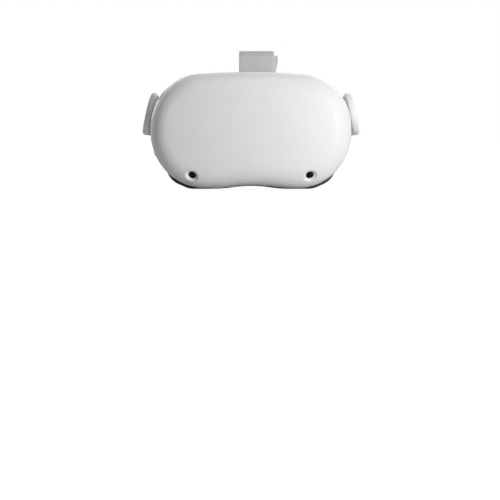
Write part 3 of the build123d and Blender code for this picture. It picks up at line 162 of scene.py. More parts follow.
class Paint:
    """One material: a Principled shader and the nodes that vary it."""

    def __init__(self, name: str, **constants: object) -> None:
        """Start a material.

        Args:
            name: Name of the material.
            constants: Principled inputs that are the same all over, with
                spaces written as underscores.
        """
        self.material = bpy.data.materials.new(name)
        self.material.use_nodes = True
        self.tree = self.material.node_tree
        self.shader = self.tree.nodes["Principled BSDF"]
        for socket, value in constants.items():
            self.shader.inputs[socket.replace("_", " ")].default_value = value

    def node(
        self,
        kind: str,
        settings: dict[str, object] | None = None,
        inputs: dict[int | str, object] | None = None,
        output: int | str = 0,
    ) -> Value:
        """Add any node.

        Args:
            kind: Blender's type name of the node.
            settings: Attributes to set before the sockets.
            inputs: Values or links of its sockets, by index or name.
            output: The output wanted, by index or name.

        Returns:
            The chosen output.
        """
        made = self.tree.nodes.new(kind)
        for key, value in (settings or {}).items():
            setattr(made, key, value)
        for key, value in (inputs or {}).items():
            if isinstance(value, Value):
                self.tree.links.new(value.socket, made.inputs[key])
            else:
                made.inputs[key].default_value = value
        return Value(self, made.outputs[output])

    def place(self, scale: Point = (1, 1, 1), kind: str = "Object") -> Value:
        """Coordinates of the surface, scaled."""
        raw = self.node("ShaderNodeTexCoord", output=kind)
        return self.node("ShaderNodeMapping", None, {"Vector": raw, "Scale": scale})

    def axis(self, which: int, coordinates: Value) -> Value:
        """One coordinate of a vector."""
        return self.node("ShaderNodeSeparateXYZ", None, {0: coordinates}, which)

    def noise(self, size: float, detail: float = 2.0, stretch: Point = (1, 1, 1)) -> Value:
        """Soft noise from 0 to 1.

        Args:
            size: Size of its spots in metres.
            detail: Octaves of finer noise in it.
            stretch: Share of the spots' frequency along each axis.

        Returns:
            The noise.
        """
        place = self.place(tuple(s / size for s in stretch))
        return self.node("ShaderNodeTexNoise", None, {"Vector": place, "Scale": 1.0, "Detail": detail})

    def blend(self, share: Value, first: Sequence[float], second: Sequence[float]) -> Value:
        """Colour between two colours."""
        inputs = {0: share, 6: (*first, 1.0), 7: (*second, 1.0)}
        return self.node("ShaderNodeMix", {"data_type": "RGBA"}, inputs, 2)

    def feed(self, socket: str, value: Value) -> None:
        """Link a varying value to one of the shader's inputs."""
        self.tree.links.new(value.socket, self.shader.inputs[socket])

    def emboss(self, height: Value, depth: float, strength: float = 1.0) -> None:
        """Raise the surface by a height.

        Args:
            height: Height from 0 to 1.
            depth: Metres that a height of 1 stands for.
            strength: Share of the effect.
        """
        inputs = {"Height": height, "Distance": depth, "Strength": strength}
        self.feed("Normal", self.node("ShaderNodeBump", None, inputs))


@dataclass(frozen=True)
class Moulded:
    """Moulded plastic or rubber with a fine eroded grain."""

    name: str
    colour: Point
    roughness: float = 0.45
    grain: float = 0.0005
    relief: float = 0.00004
    cloud: float = 0.03
    drift: float = 0.05
    sheen: float = 0.0
    coat: float = 0.0

    def make(self) -> bpy.types.Material:
        """Build the material.

        Returns:
            The material, under the finish's name.
        """
        paint = Paint(self.name, Sheen_Weight=self.sheen, Coat_Weight=self.coat, Coat_Roughness=0.25)
        cloud = paint.noise(self.cloud, 3.0)
        fine = paint.noise(self.grain, 1.0)
        dark = tuple(c * (1 - self.drift) for c in self.colour)
        light = tuple(min(c * (1 + self.drift), 1.0) for c in self.colour)
        paint.feed("Base Color", paint.blend(cloud * 0.7 + fine * 0.3, dark, light))
        paint.feed("Roughness", cloud * 0.1 + fine * 0.1 + (self.roughness - 0.1))
        paint.emboss(fine, self.relief)
        return paint.material


@dataclass(frozen=True)
class Webbing:
    """Woven elastic webbing, with its ribs along the UV map's first axis in metres, and painted shade in
    the weave's hollows with painted highlight on its raised yarns.
    """

    name: str
    colour: Point
    pitch: float = 0.0011
    relief: float = 0.00022
    fuzz: float = 0.0006
    cloud: float = 0.012
    # Ends of the colour: painted shade in the weave's hollows and painted highlight on its raised yarns,
    # with random fuzz and cloud tone between.
    shadow: float = 0.72
    light: float = 1.12

    def make(self) -> bpy.types.Material:
        """Build the material.

        Returns:
            The material, under the finish's name.
        """
        paint = Paint(self.name, Sheen_Weight=0.25, Sheen_Roughness=0.5, Specular_IOR_Level=0.25)
        uv = paint.place(kind="UV")
        along = paint.axis(0, uv) * (2 * math.pi / self.pitch)
        across = paint.axis(1, uv) * (2 * math.pi / self.pitch)
        wave = (across * 0.5).sine()
        picks = (along * 0.5 + wave.over(0.0) * (math.pi / 2)).sine().size()
        weave = wave.size() * 0.55 + picks * 0.45
        fuzz = paint.noise(self.fuzz)
        # The weave share paints shade into the hollows between yarns and highlight on the raised yarns,
        # along the bump's weave; fuzz and cloud give random tone.
        shade = weave * 0.55 + fuzz * 0.25 + paint.noise(self.cloud) * 0.2
        dark = tuple(c * self.shadow for c in self.colour)
        light = tuple(min(c * self.light, 1.0) for c in self.colour)
        paint.feed("Base Color", paint.blend(shade, dark, light))
        paint.feed("Roughness", fuzz * 0.15 + 0.8)
        paint.emboss(weave * 0.8 + fuzz * 0.2, self.relief)
        return paint.material


@dataclass(frozen=True)
class FoamSkin:
    """Open-celled foam with a soft, slightly pitted face."""

    name: str
    colour: Point
    cells: float = 1400.0
    relief: float = 0.00035
    cloud: float = 0.008
    light: float = 1.9

    def make(self) -> bpy.types.Material:
        """Build the material.

        Returns:
            The material, under the finish's name.
        """
        paint = Paint(self.name, Sheen_Weight=0.35, Sheen_Roughness=0.6, Specular_IOR_Level=0.2)
        inputs = {"Vector": paint.place((self.cells,) * 3), "Scale": 1.0}
        cells = paint.node("ShaderNodeTexVoronoi", {"feature": "F1"}, inputs)
        cloud = paint.noise(self.cloud, 3.0)
        pale = tuple(c * self.light for c in self.colour)
        paint.feed("Base Color", paint.blend(cells * 0.6 + cloud * 0.4, pale, self.colour))
        paint.feed("Roughness", cloud * 0.1 + 0.85)
        paint.emboss(cells, self.relief)
        return paint.material


@dataclass(frozen=True)
class Ground:
    """Ground or stamped metal with fine scratches along one axis."""

    name: str
    colour: Point
    along: Point = (0.02, 1, 1)
    roughness: float = 0.32
    scratch: float = 0.0004
    cloud: float = 0.01
    relief: float = 0.00002

    def make(self) -> bpy.types.Material:
        """Build the material.

        Returns:
            The material, under the finish's name.
        """
        paint = Paint(self.name, Metallic=1.0)
        lines = paint.noise(self.scratch, stretch=self.along)
        dark = tuple(c * 0.85 for c in self.colour)
        shade = lines * 0.6 + paint.noise(self.cloud) * 0.4
        paint.feed("Base Color", paint.blend(shade, dark, self.colour))
        paint.feed("Roughness", lines * 0.16 + (self.roughness - 0.08))
        paint.emboss(lines, self.relief)
        return paint.material


@dataclass(frozen=True)
class Polished:
    """Glossy glass-faced plastic, with faint dust."""

    name: str
    colour: Point
    roughness: float = 0.06
    pale: float = 0.03
    coat: float = 0.6
    speck: float = 0.0012

    def make(self) -> bpy.types.Material:
        """Build the material.

        Returns:
            The material, under the finish's name.
        """
        paint = Paint(self.name, Coat_Weight=self.coat, Coat_Roughness=0.04, Specular_IOR_Level=self.coat)
        dust = paint.noise(self.speck, 4.0).spread(0.55, 0.8)
        pale = tuple(c + self.pale for c in self.colour)
        paint.feed("Base Color", paint.blend(dust, self.colour, pale))
        paint.feed("Roughness", dust * 0.15 + self.roughness)
        return paint.material


@dataclass(frozen=True)
class RingedLens:
    """Clear lens with fine concentric rings about an axis along Y."""

    name: str
    centre: tuple[float, float]
    pitch: float = 0.0012
    relief: float = 0.000003
    dark: Point = (0.4, 0.41, 0.48)
    light: Point = (0.62, 0.63, 0.7)

    def make(self) -> bpy.types.Material:
        """Build the material.

        Returns:
            The material, under the finish's name.
        """
        paint = Paint(self.name, Transmission_Weight=1.0, IOR=1.3)
        place = paint.place()
        x = paint.axis(0, place) - self.centre[0]
        z = paint.axis(2, place) - self.centre[1]
        radius = (x * x + z * z).root()
        rings = (radius * (2 * math.pi / self.pitch)).sine() * 0.5 + 0.5
        paint.feed("Base Color", paint.blend(rings, self.dark, self.light))
        paint.feed("Roughness", rings * 0.05 + 0.02)
        paint.emboss(rings, self.relief, 0.6)
        return paint.material


@dataclass(frozen=True)
class Board:
    """Printed circuit board: green mask, tracks and tinned pads."""

    name: str
    mask: Point = (0.012, 0.085, 0.04)
    track: Point = (0.03, 0.17, 0.08)
    tin: Point = (0.62, 0.6, 0.52)
    parts: float = 420.0
    traces: float = 160.0
    pad: float = 0.0016
    relief: float = 0.00005

    def make(self) -> bpy.types.Material:
        """Build the material.

        Returns:
            The material, under the finish's name.
        """
        paint = Paint(self.name, Coat_Weight=0.4, Coat_Roughness=0.2)
        inputs = {"Vector": paint.place((self.parts,) * 3), "Scale": 1.0, "Mortar Size": 0.05}
        inputs |= {"Color1": (0, 0, 0, 1), "Color2": (0.4, 0.4, 0.4, 1), "Mortar": (1, 1, 1, 1)}
        bricks = paint.node("ShaderNodeTexBrick", {"offset": 0.35}, inputs)
        inputs = {"Vector": paint.place((self.traces,) * 3), "Scale": 2.0, "Distortion": 6.0}
        tracks = paint.node("ShaderNodeTexWave", None, inputs, 1)
        pads = paint.noise(self.pad, 0.0).spread(0.68, 0.7)
        green = paint.blend(tracks * 0.6 + bricks * 0.2, self.mask, self.track)
        inputs = {0: pads, 6: green, 7: (*self.tin, 1.0)}
        paint.feed("Base Color", paint.node("ShaderNodeMix", {"data_type": "RGBA"}, inputs, 2))
        paint.feed("Metallic", pads)
        paint.feed("Roughness", pads * -0.1 + 0.35)
        paint.emboss(tracks * 0.4 + pads * 0.6, self.relief)
        return paint.material


@dataclass(frozen=True)
class LightPipe:
    """Light pipe of the status light, unlit."""

    name: str
    dark: Point = (0.8, 0.8, 0.78)
    light: Point = (0.9, 0.9, 0.88)
    cloud: float = 0.001

    def make(self) -> bpy.types.Material:
        """Build the material.

        Returns:
            The material, under the finish's name.
        """
        paint = Paint(self.name, Subsurface_Weight=0.3, Subsurface_Radius=(0.001, 0.001, 0.001))
        cloud = paint.noise(self.cloud)
        paint.feed("Base Color", paint.blend(cloud, self.dark, self.light))
        paint.feed("Roughness", cloud * 0.1 + 0.3)
        return paint.material


# ------------------------------------------------------------------ modelling
class Bench:
    """Modelling steps that every piece uses, with their angles in degrees."""

    rounded_from: float = 50.0
    crisp_from: float = 60.0

    @staticmethod
    def clear() -> None:
        """Deselect every object."""
        bpy.ops.object.select_all(action="DESELECT")

    @classmethod
    def pick(cls, piece: bpy.types.Object) -> None:
        """Select one object alone and make it active.

        Args:
            piece: The object.
        """
        cls.clear()
        piece.select_set(True)
        bpy.context.view_layer.objects.active = piece

    @classmethod
    def apply(cls, piece: bpy.types.Object, kind: str, **settings: object) -> None:
        """Add a modifier and apply it.

        Args:
            piece: The object.
            kind: Blender's type name of the modifier.
            settings: Attributes of the modifier.
        """
        cls.pick(piece)
        modifier = piece.modifiers.new(kind.title(), kind)
        for key, value in settings.items():
            setattr(modifier, key, value)
        bpy.ops.object.modifier_apply(modifier=modifier.name)

    @staticmethod
    def mend(gap: float = 0.0, outward: bool = True) -> None:
        """Merge close points of the active mesh and turn its faces outwards.

        Args:
            gap: Distance below which points merge, or zero to leave them.
            outward: Whether to turn the faces.
        """
        bpy.ops.object.mode_set(mode="EDIT")
        bpy.ops.mesh.select_all(action="SELECT")
        if gap:
            bpy.ops.mesh.remove_doubles(threshold=gap)
        if outward:
            bpy.ops.mesh.normals_make_consistent(inside=False)
        bpy.ops.object.mode_set(mode="OBJECT")

    @classmethod
    def settle(cls, piece: bpy.types.Object) -> None:
        """Put the object's place and size into its mesh."""
        cls.pick(piece)
        bpy.ops.object.transform_apply(location=True, rotation=True, scale=True)

    @classmethod
    def round_off(cls, piece: bpy.types.Object) -> None:
        """Subdivide the piece once, which rounds its edges, and shade it smooth.

        Args:
            piece: The object.
        """
        cls.apply(piece, "SUBSURF", levels=1, render_levels=1)
        cls.pick(piece)
        bpy.ops.object.shade_smooth()

    @classmethod
    def grid(
        cls,
        name: str,
        columns: int,
        rows: int,
        shape: Callable[[float, float], Point],
        lay: Callable[[float, float], tuple[float, float]],
    ) -> bpy.types.Object:
        """Model a strip from a flat grid.

        Args:
            name: Name of the piece.
            columns: Cells along the strip.
            rows: Cells across it.
            shape: Place of the point at shares (along, across) of the strip.
            lay: Length and width in metres at the same shares, for the weave.

        Returns:
            The strip, one face thick.
        """
        cls.clear()
        bpy.ops.mesh.primitive_grid_add(x_subdivisions=columns, y_subdivisions=rows, size=2)
        piece = bpy.context.object
        piece.name = name
        mesh = piece.data
        mesh.name = name
        flat = [((v.co.x + 1) / 2, (v.co.y + 1) / 2) for v in mesh.vertices]
        for vertex, (along, across) in zip(mesh.vertices, flat):
            vertex.co = shape(along, across)
        layer = mesh.uv_layers.active or mesh.uv_layers.new(name="UVMap")
        for loop in mesh.loops:
            layer.data[loop.index].uv = lay(*flat[loop.vertex_index])
        return piece

    @classmethod
    def weld(cls, piece: bpy.types.Object, others: Iterable[bpy.types.Object], gap: float) -> None:
        """Join pieces into the first and merge the points where they meet.

        Args:
            piece: The piece that keeps its name.
            others: Pieces that become part of it.
            gap: Distance below which points merge.
        """
        cls.pick(piece)
        for other in others:
            other.select_set(True)
        bpy.ops.object.join()
        cls.mend(gap)

    @classmethod
    def thicken(cls, piece: bpy.types.Object, thick: float) -> None:
        """Give a strip its thickness, centred on its surface.

        Args:
            piece: The strip, one face thick.
            thick: Thickness in metres.
        """
        cls.apply(piece, "SOLIDIFY", thickness=thick, offset=0.0, use_even_offset=True)

    @classmethod
    def hem(cls, piece: bpy.types.Object, width: float) -> None:
        """Round the square edges of a thick strip, and shade it smooth.

        Args:
            piece: The strip.
            width: Width of its rounded edges.
        """
        limit = math.radians(cls.rounded_from)
        cls.apply(piece, "BEVEL", width=width, segments=3, limit_method="ANGLE", angle_limit=limit)
        cls.pick(piece)
        bpy.ops.object.shade_smooth_by_angle(angle=math.radians(cls.crisp_from))

    @staticmethod
    def dress(
        piece: bpy.types.Object,
        body: Body,
        slot: Slot,
        material: bpy.types.Material,
        replaces: Sequence[str] = (),
    ) -> bpy.types.Object:
        """Give a finished piece its looks and its place in the frame.

        Args:
            piece: The finished piece.
            body: Body it rides on.
            slot: Slot its finish belongs to; not used.
            material: Its finish.
            replaces: Nodes of the frame that it stands for.

        Returns:
            The same piece.
        """
        piece.data.materials.clear()
        piece.data.materials.append(material)
        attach(piece, body.value)
        if replaces:
            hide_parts(*replaces)
        log.info("%s: %d faces on %s", piece.name, len(piece.data.polygons), body.value)
        return piece


@dataclass
class Seam:
    """A row of machine stitches, laid as small rounded lengths of thread."""

    length: float = 0.0026
    gap: float = 0.0011
    thread: float = 0.00032
    flat: float = 0.8
    proud: float = 0.0001

    def sew(self, name: str, rows: Sequence[Row]) -> bpy.types.Object:
        """Lay stitches along lines.

        Args:
            name: Name of the piece.
            rows: For each line, its points and the outward normals there.

        Returns:
            All the stitches as one piece.
        """
        Bench.clear()
        bpy.ops.mesh.primitive_uv_sphere_add(segments=6, ring_count=4, radius=1.0)
        stitch = bpy.context.object
        base = [v.co.copy() for v in stitch.data.vertices]
        faces = [tuple(p.vertices) for p in stitch.data.polygons]
        bpy.data.objects.remove(stitch)
        points: list[Vector] = []
        polygons: list[tuple[int, ...]] = []
        half = Vector((self.length / 2, self.thread, self.thread * self.flat))
        for row in rows:
            for place, way, up in self._steps(row):
                side = up.cross(way).normalized()
                turn = Matrix((way, side, way.cross(side))).transposed()
                start = len(points)
                points += [place + turn @ Vector(a * b for a, b in zip(co, half)) for co in base]
                polygons += [tuple(i + start for i in face) for face in faces]
        mesh = bpy.data.meshes.new(name)
        mesh.from_pydata(points, [], polygons)
        piece = bpy.data.objects.new(name, mesh)
        bpy.context.scene.collection.objects.link(piece)
        Bench.pick(piece)
        Bench.mend()
        bpy.ops.object.shade_smooth()
        return piece

    def _steps(self, row: Row) -> Iterable[tuple[Vector, Vector, Vector]]:
        """Walk a line from stitch to stitch.

        Args:
            row: Points of the line, and the outward normals there.

        Returns:
            Middle, direction and normal of each stitch, one by one.
        """
        line, normals = row
        travelled = 0.0
        due = self.length / 2
        for first, last, up in zip(line, line[1:], normals):
            run = last - first
            while run.length > 1e-9 and due <= travelled + run.length:
                share = (due - travelled) / run.length
                yield first.lerp(last, share), run.normalized(), up.normalized()
                due += self.length + self.gap
            travelled += run.length


# ------------------------------------------------------------------ straps
def ease(share: float) -> float:
    """Smooth step from 0 to 1, level at both ends.

    Args:
        share: Place along the step, held between 0 and 1.

    Returns:
        Height of the step there.
    """
    share = min(max(share, 0.0), 1.0)
    return share * share * (3 - 2 * share)


@dataclass
class RearWeb:
    """Elastic side straps that fork into an upper and a lower rear band."""

    radius: float = 0.088
    thick: float = 0.0025
    curve: float = 0.150
    centre_y: float = 0.046
    middle_z: float = 0.060
    start_y: float = 0.0045
    flare_y: float = 0.028
    fork_y: float = 0.06402
    level_y: float = 0.104
    half: float = 0.012
    inner: float = 0.014
    outer: float = 0.034
    columns: int = 217
    rows: int = 8
    stitch_inset: float = 0.0022
    seam_steps: int = 1302
    seam_start: float = 0.010
    probe: float = 0.01
    join: float = 0.00005
    seam: Seam = field(default_factory=Seam)

    def arc(self, share: float) -> tuple[float, float, float]:
        """Place along the web, from the left arm round the back to the right arm.

        Args:
            share: Share of the web's length.

        Returns:
            Length so far, angle round the back, and straight run still to go.
        """
        run = self.centre_y - self.start_y
        total = 2 * run + math.pi * self.radius
        along = share * total
        if along < run:
            return along, 0.0, run - along
        if along > total - run:
            return along, math.pi, along - (total - run)
        return along, (along - run) / self.radius, 0.0

    def rim(self, y: float) -> float:
        """Height of the outer edge above the middle, at depth y."""
        share = ease((y - self.flare_y) / (self.level_y - self.flare_y))
        return self.half + (self.outer - self.half) * share

    def opening(self, y: float, inset: float = 0.0) -> float:
        """Half height of the opening between the bands.

        Args:
            y: Depth at which it is wanted.
            inset: Distance by which a line keeps off the opening's edge.

        Returns:
            The half height, or zero in front of the fork.
        """
        start = self.fork_y - inset
        share = min(max((y - start) / (self.level_y - start), 0.0), 1.0)
        return (self.inner + inset) * math.sqrt(1 - (1 - share) ** 2)

    def point(self, share: float, up: float, proud: float = 0.0) -> Vector:
        """Point of the web's middle surface.

        Args:
            share: Share of the web's length.
            up: Height above its middle line.
            proud: Distance outwards from the surface.

        Returns:
            The point.
        """
        _, angle, run = self.arc(share)
        radius = self.radius - self.thick / 2 - self.curve
        radius += math.sqrt(self.curve**2 - up**2) + proud
        x = radius * math.cos(angle)
        y = self.centre_y + radius * math.sin(angle) - run
        return Vector((x, y, self.middle_z + up))

    def half_web(self, sign: int) -> bpy.types.Object:
        """Model half of the web.

        Args:
            sign: 1 for the upper half, -1 for the lower one.

        Returns:
            The half, one face thick.
        """

        def heights(along: float) -> tuple[float, float]:
            """Edges of the half.

            Args:
                along: Share of its length.

            Returns:
                Heights of the inner and the outer edge.
            """
            y = self.point(along, 0).y
            return self.opening(y), self.rim(y)

        def shape(along: float, across: float) -> Point:
            """Place of a point of the half.

            Args:
                along: Share of its length.
                across: Share of its width, from the inner edge.

            Returns:
                The place.
            """
            inner, outer = heights(along)
            return self.point(along, sign * (inner + (outer - inner) * across))

        def lay(along: float, across: float) -> tuple[float, float]:
            """The same point on the flat cloth.

            Args:
                along: Share of its length.
                across: Share of its width, from the inner edge.

            Returns:
                Length and width.
            """
            inner, outer = heights(along)
            return self.arc(along)[0], (outer - inner) * (1 - across)

        return Bench.grid(f"web_{sign}", self.columns, self.rows, shape, lay)

    def seam_line(self, height: Callable[[float], float], start: float) -> Row:
        """Stitch line along an edge of the web.

        Args:
            height: Height of the line at depth y.
            start: Depth behind which the line is sewn.

        Returns:
            Points of the line, and the outward normals there.
        """
        line: list[Vector] = []
        normals: list[Vector] = []
        for step in range(self.seam_steps + 1):
            share = step / self.seam_steps
            y = self.point(share, 0).y
            if y < start:
                continue
            up = height(y)
            line.append(self.point(share, up, self.thick / 2 + self.seam.proud))
            normals.append((line[-1] - self.point(share, up, -self.probe)).normalized())
        return line, normals

    def build(self, cloth: bpy.types.Material, thread: bpy.types.Material) -> None:
        """Model the web and its edge seams.

        Args:
            cloth: Finish of the web.
            thread: Finish of the stitches.
        """
        web, lower = self.half_web(1), self.half_web(-1)
        Bench.weld(web, [lower], self.join)
        Bench.thicken(web, self.thick)
        Bench.round_off(web)
        web.name = "rear_web"
        nodes = ("left_side_strap", "right_side_strap", "upper_rear_band", "lower_rear_band")
        Bench.dress(web, Body.STRAP, Slot.STRAP, cloth, nodes)
        rows = []
        inset = self.stitch_inset
        for sign in (1, -1):
            outer = self.seam_line(lambda y: sign * (self.rim(y) - inset), self.start_y + self.seam_start)
            inner = self.seam_line(lambda y: sign * self.opening(y, inset), self.fork_y - inset)
            rows += [outer, inner]
        sewn = self.seam.sew("rear_web_stitching", rows)
        Bench.dress(sewn, Body.STRAP, Slot.STRAP, thread)


@dataclass
class TopStrap:
    """Top strap: a loop through the visor's clip and a layer over it to the rear band."""

    pivot: tuple[float, float] = (-0.078, 0.0673)
    middle_x: float = 0.005
    width: float = 0.031
    thick: float = 0.002
    loop_radius: float = 0.0525
    layer_radius: float = 0.0548
    riser_y: float = -0.0845
    riser_foot: float = 0.1004
    bend: float = 0.005
    riser_cells: int = 8
    bend_cells: int = 12
    loop_cells: int = 8
    loop_end: float = 14.0
    layer_start: float = 1.0
    layer_cells: int = 6
    span_cells: int = 60
    band_back: tuple[float, float] = (0.12885, 0.092)
    wrap: float = 0.00145
    wrap_turn: float = 80.0
    wrap_cells: int = 8
    tab: float = 0.016
    tab_lean: float = 0.0006
    tab_cells: int = 6
    drift: float = 0.004
    bow: float = 0.0035
    crown: float = 0.0005
    crown_rise: float = 8.0
    rows: int = 14
    edge: float = 0.0007
    inset: float = 0.0024
    box_margin: float = 0.002
    box_steps: int = 20
    ply: float = 0.0022
    lap: float = 0.0034
    seam: Seam = field(default_factory=Seam)

    def around(self, radius: float, degrees: float) -> tuple[float, float]:
        """Point about the arm pivot, this far behind upright."""
        turn = math.radians(degrees)
        return self.pivot[0] + radius * math.sin(turn), self.pivot[1] + radius * math.cos(turn)

    def loop_path(self, inset: float = 0.0) -> Path:
        """Side view of the loop, from the clip up and back.

        Args:
            inset: Distance below the loop, for the layer that returns under it.

        Returns:
            Points (y, z) of its middle surface.
        """
        bend = self.bend - inset
        bend_y = self.riser_y + self.bend
        reach = self.loop_radius - self.bend
        bend_z = self.pivot[1] + math.sqrt(reach**2 - (bend_y - self.pivot[0]) ** 2)
        lead = math.degrees(math.asin((bend_y - self.pivot[0]) / reach))
        rise = bend_z - self.riser_foot
        cells = self.riser_cells
        path = [(self.riser_y + inset, self.riser_foot + rise * i / cells) for i in range(cells)]
        for step in range(self.bend_cells + 1):
            turn = math.radians((90 + lead) * step / self.bend_cells)
            path.append((bend_y - bend * math.cos(turn), bend_z + bend * math.sin(turn)))
        radius, cells = self.loop_radius - inset, self.loop_cells
        for step in range(1, cells + 1):
            path.append(self.around(radius, lead + (self.loop_end - lead) * step / cells))
        return path

    def layer_path(self) -> Path:
        """Side view of the outer layer, back to the rear band and down over it.

        Returns:
            Points (y, z) of its middle surface.
        """
        dy, dz = self.band_back[0] - self.pivot[0], self.band_back[1] - self.pivot[1]
        reach = math.hypot(dy, dz)
        slope = math.degrees(math.asin(self.layer_radius / reach) - math.atan(dz / dy))
        turn, cells = slope - self.layer_start, self.layer_cells
        path = [
            self.around(self.layer_radius, self.layer_start + turn * i / cells)
            for i in range(cells + 1)
        ]
        y, z = path[-1]
        for step in range(1, self.span_cells + 1):
            share = step / self.span_cells
            lift = self.bow * math.sin(math.pi * share)
            path.append((y + (self.band_back[0] - y) * share, z + (self.band_back[1] - z) * share + lift))
        y, z = self.band_back
        over = self.thick / 2 + self.wrap
        for step in range(1, self.wrap_cells + 1):
            turn = math.radians(self.wrap_turn * step / self.wrap_cells)
            path.append((y + over * math.sin(turn), z - over * (1 - math.cos(turn))))
        y, z = path[-1]
        for step in range(1, self.tab_cells + 1):
            path.append((y + self.tab_lean * step / self.tab_cells, z - self.tab * step / self.tab_cells))
        return path

    def band(self, name: str, path: Path, drift: float, swing: float = 0.0) -> bpy.types.Object:
        """Model a band that follows a side view path.

        Args:
            name: Name of the piece.
            path: Points (y, z) of its middle surface.
            drift: How far its far end lies to the left.
            swing: How far its middle lies to the left of its ends.

        Returns:
            The band, with its thickness.
        """
        lengths = [0.0]
        for (y0, z0), (y1, z1) in zip(path, path[1:]):
            lengths.append(lengths[-1] + math.hypot(y1 - y0, z1 - z0))
        cells = len(path) - 1

        def shape(along: float, across: float) -> Point:
            """Place of a point of the band.

            Args:
                along: Share of its cells along the path.
                across: Share of its width.

            Returns:
                The place.
            """
            step = min(round(along * cells), cells)
            (y, z), (y0, z0), (y1, z1) = path[step], path[max(step - 1, 0)], path[max(step, 1)]
            up = Vector((1, 0, 0)).cross(Vector((0, y1 - y0, z1 - z0))).normalized()
            side = across * 2 - 1
            share = lengths[step] / lengths[-1]
            ends = min(share * self.crown_rise, 1.0) * min((1 - share) * self.crown_rise, 1.0)
            rise = self.crown * (1 - side * side) * ends
            middle = self.middle_x + drift * share + swing * math.sin(math.pi * share)
            return middle + side * self.width / 2, y + up.y * rise, z + up.z * rise

        def lay(along: float, across: float) -> tuple[float, float]:
            """The same point on the flat cloth.

            Args:
                along: Share of the band's cells along the path.
                across: Share of its width.

            Returns:
                Length and width.
            """
            return lengths[min(round(along * cells), cells)], across * self.width

        band = Bench.grid(name, cells, self.rows, shape, lay)
        Bench.thicken(band, self.thick)
        Bench.hem(band, self.edge)
        return band

    def edge_seams(self, path: Path, drift: float) -> list[Row]:
        """Stitch lines along both edges of a band.

        Args:
            path: Points (y, z) of its middle surface.
            drift: How far its far end lies to the left.

        Returns:
            The two lines, each with its outward normals.
        """
        rows = []
        cells = len(path) - 1
        for side in (-1, 1):
            line, normals = [], []
            for step in range(1, cells + 1):
                y, z = path[step]
                y0, z0 = path[step - 1]
                y1, z1 = path[min(step + 1, cells)]
                up = Vector((0, -(z1 - z0), y1 - y0)).normalized()
                x = self.middle_x + drift * step / cells + side * (self.width / 2 - self.inset)
                line.append(Vector((x, y, z)) + up * (self.thick / 2 + self.seam.proud))
                normals.append(up)
            rows.append((line, normals))
        return rows

    def box_seam(self, y: float, low: float, high: float) -> list[Row]:
        """Box with a cross, sewn through the tab on a face that looks backwards.

        Args:
            y: Depth of the stitches.
            low: Height of its lower edge.
            high: Height of its upper edge.

        Returns:
            Its lines, each with the outward normals.
        """
        wide = self.width / 2 - self.inset
        x = self.middle_x + self.drift
        corners = [(x - wide, low), (x + wide, low), (x + wide, high), (x - wide, high)]
        shares = [step / self.box_steps for step in range(self.box_steps + 1)]
        rows = []
        for first, last in ((0, 1), (2, 3), (0, 2), (1, 3)):
            (xa, za), (xb, zb) = corners[first], corners[last]
            line = [Vector((xa + (xb - xa) * share, y, za + (zb - za) * share)) for share in shares]
            rows.append((line, [Vector((0, 1, 0))] * len(line)))
        return rows

    def build(self, cloth: bpy.types.Material, thread: bpy.types.Material) -> None:
        """Model the loop, the outer layer and their seams.

        Args:
            cloth: Finish of the straps.
            thread: Finish of the stitches.
        """
        loop_path, layer_path = self.loop_path(), self.layer_path()
        loop = self.band("top_strap_loop", loop_path, 0.0)
        Bench.dress(loop, Body.VISOR, Slot.STRAP, cloth, ("top_strap_tongue",))
        under = self.band("top_strap_return", self.loop_path(self.ply), 0.0, self.lap)
        Bench.dress(under, Body.VISOR, Slot.STRAP, cloth)
        layer = self.band("top_strap_layer", layer_path, self.drift)
        Bench.dress(layer, Body.STRAP, Slot.STRAP, cloth, ("top_strap",))
        sewn = self.seam.sew("top_strap_loop_stitching", self.edge_seams(loop_path, 0.0))
        Bench.dress(sewn, Body.VISOR, Slot.STRAP, thread)
        y, z = layer_path[-1]
        low, high = z + self.box_margin, z + self.tab - self.box_margin
        rows = self.edge_seams(layer_path, self.drift)
        rows += self.box_seam(y + self.thick / 2 + self.seam.proud, low, high)
        sewn = self.seam.sew("top_strap_layer_stitching", rows)
        Bench.dress(sewn, Body.STRAP, Slot.STRAP, thread)


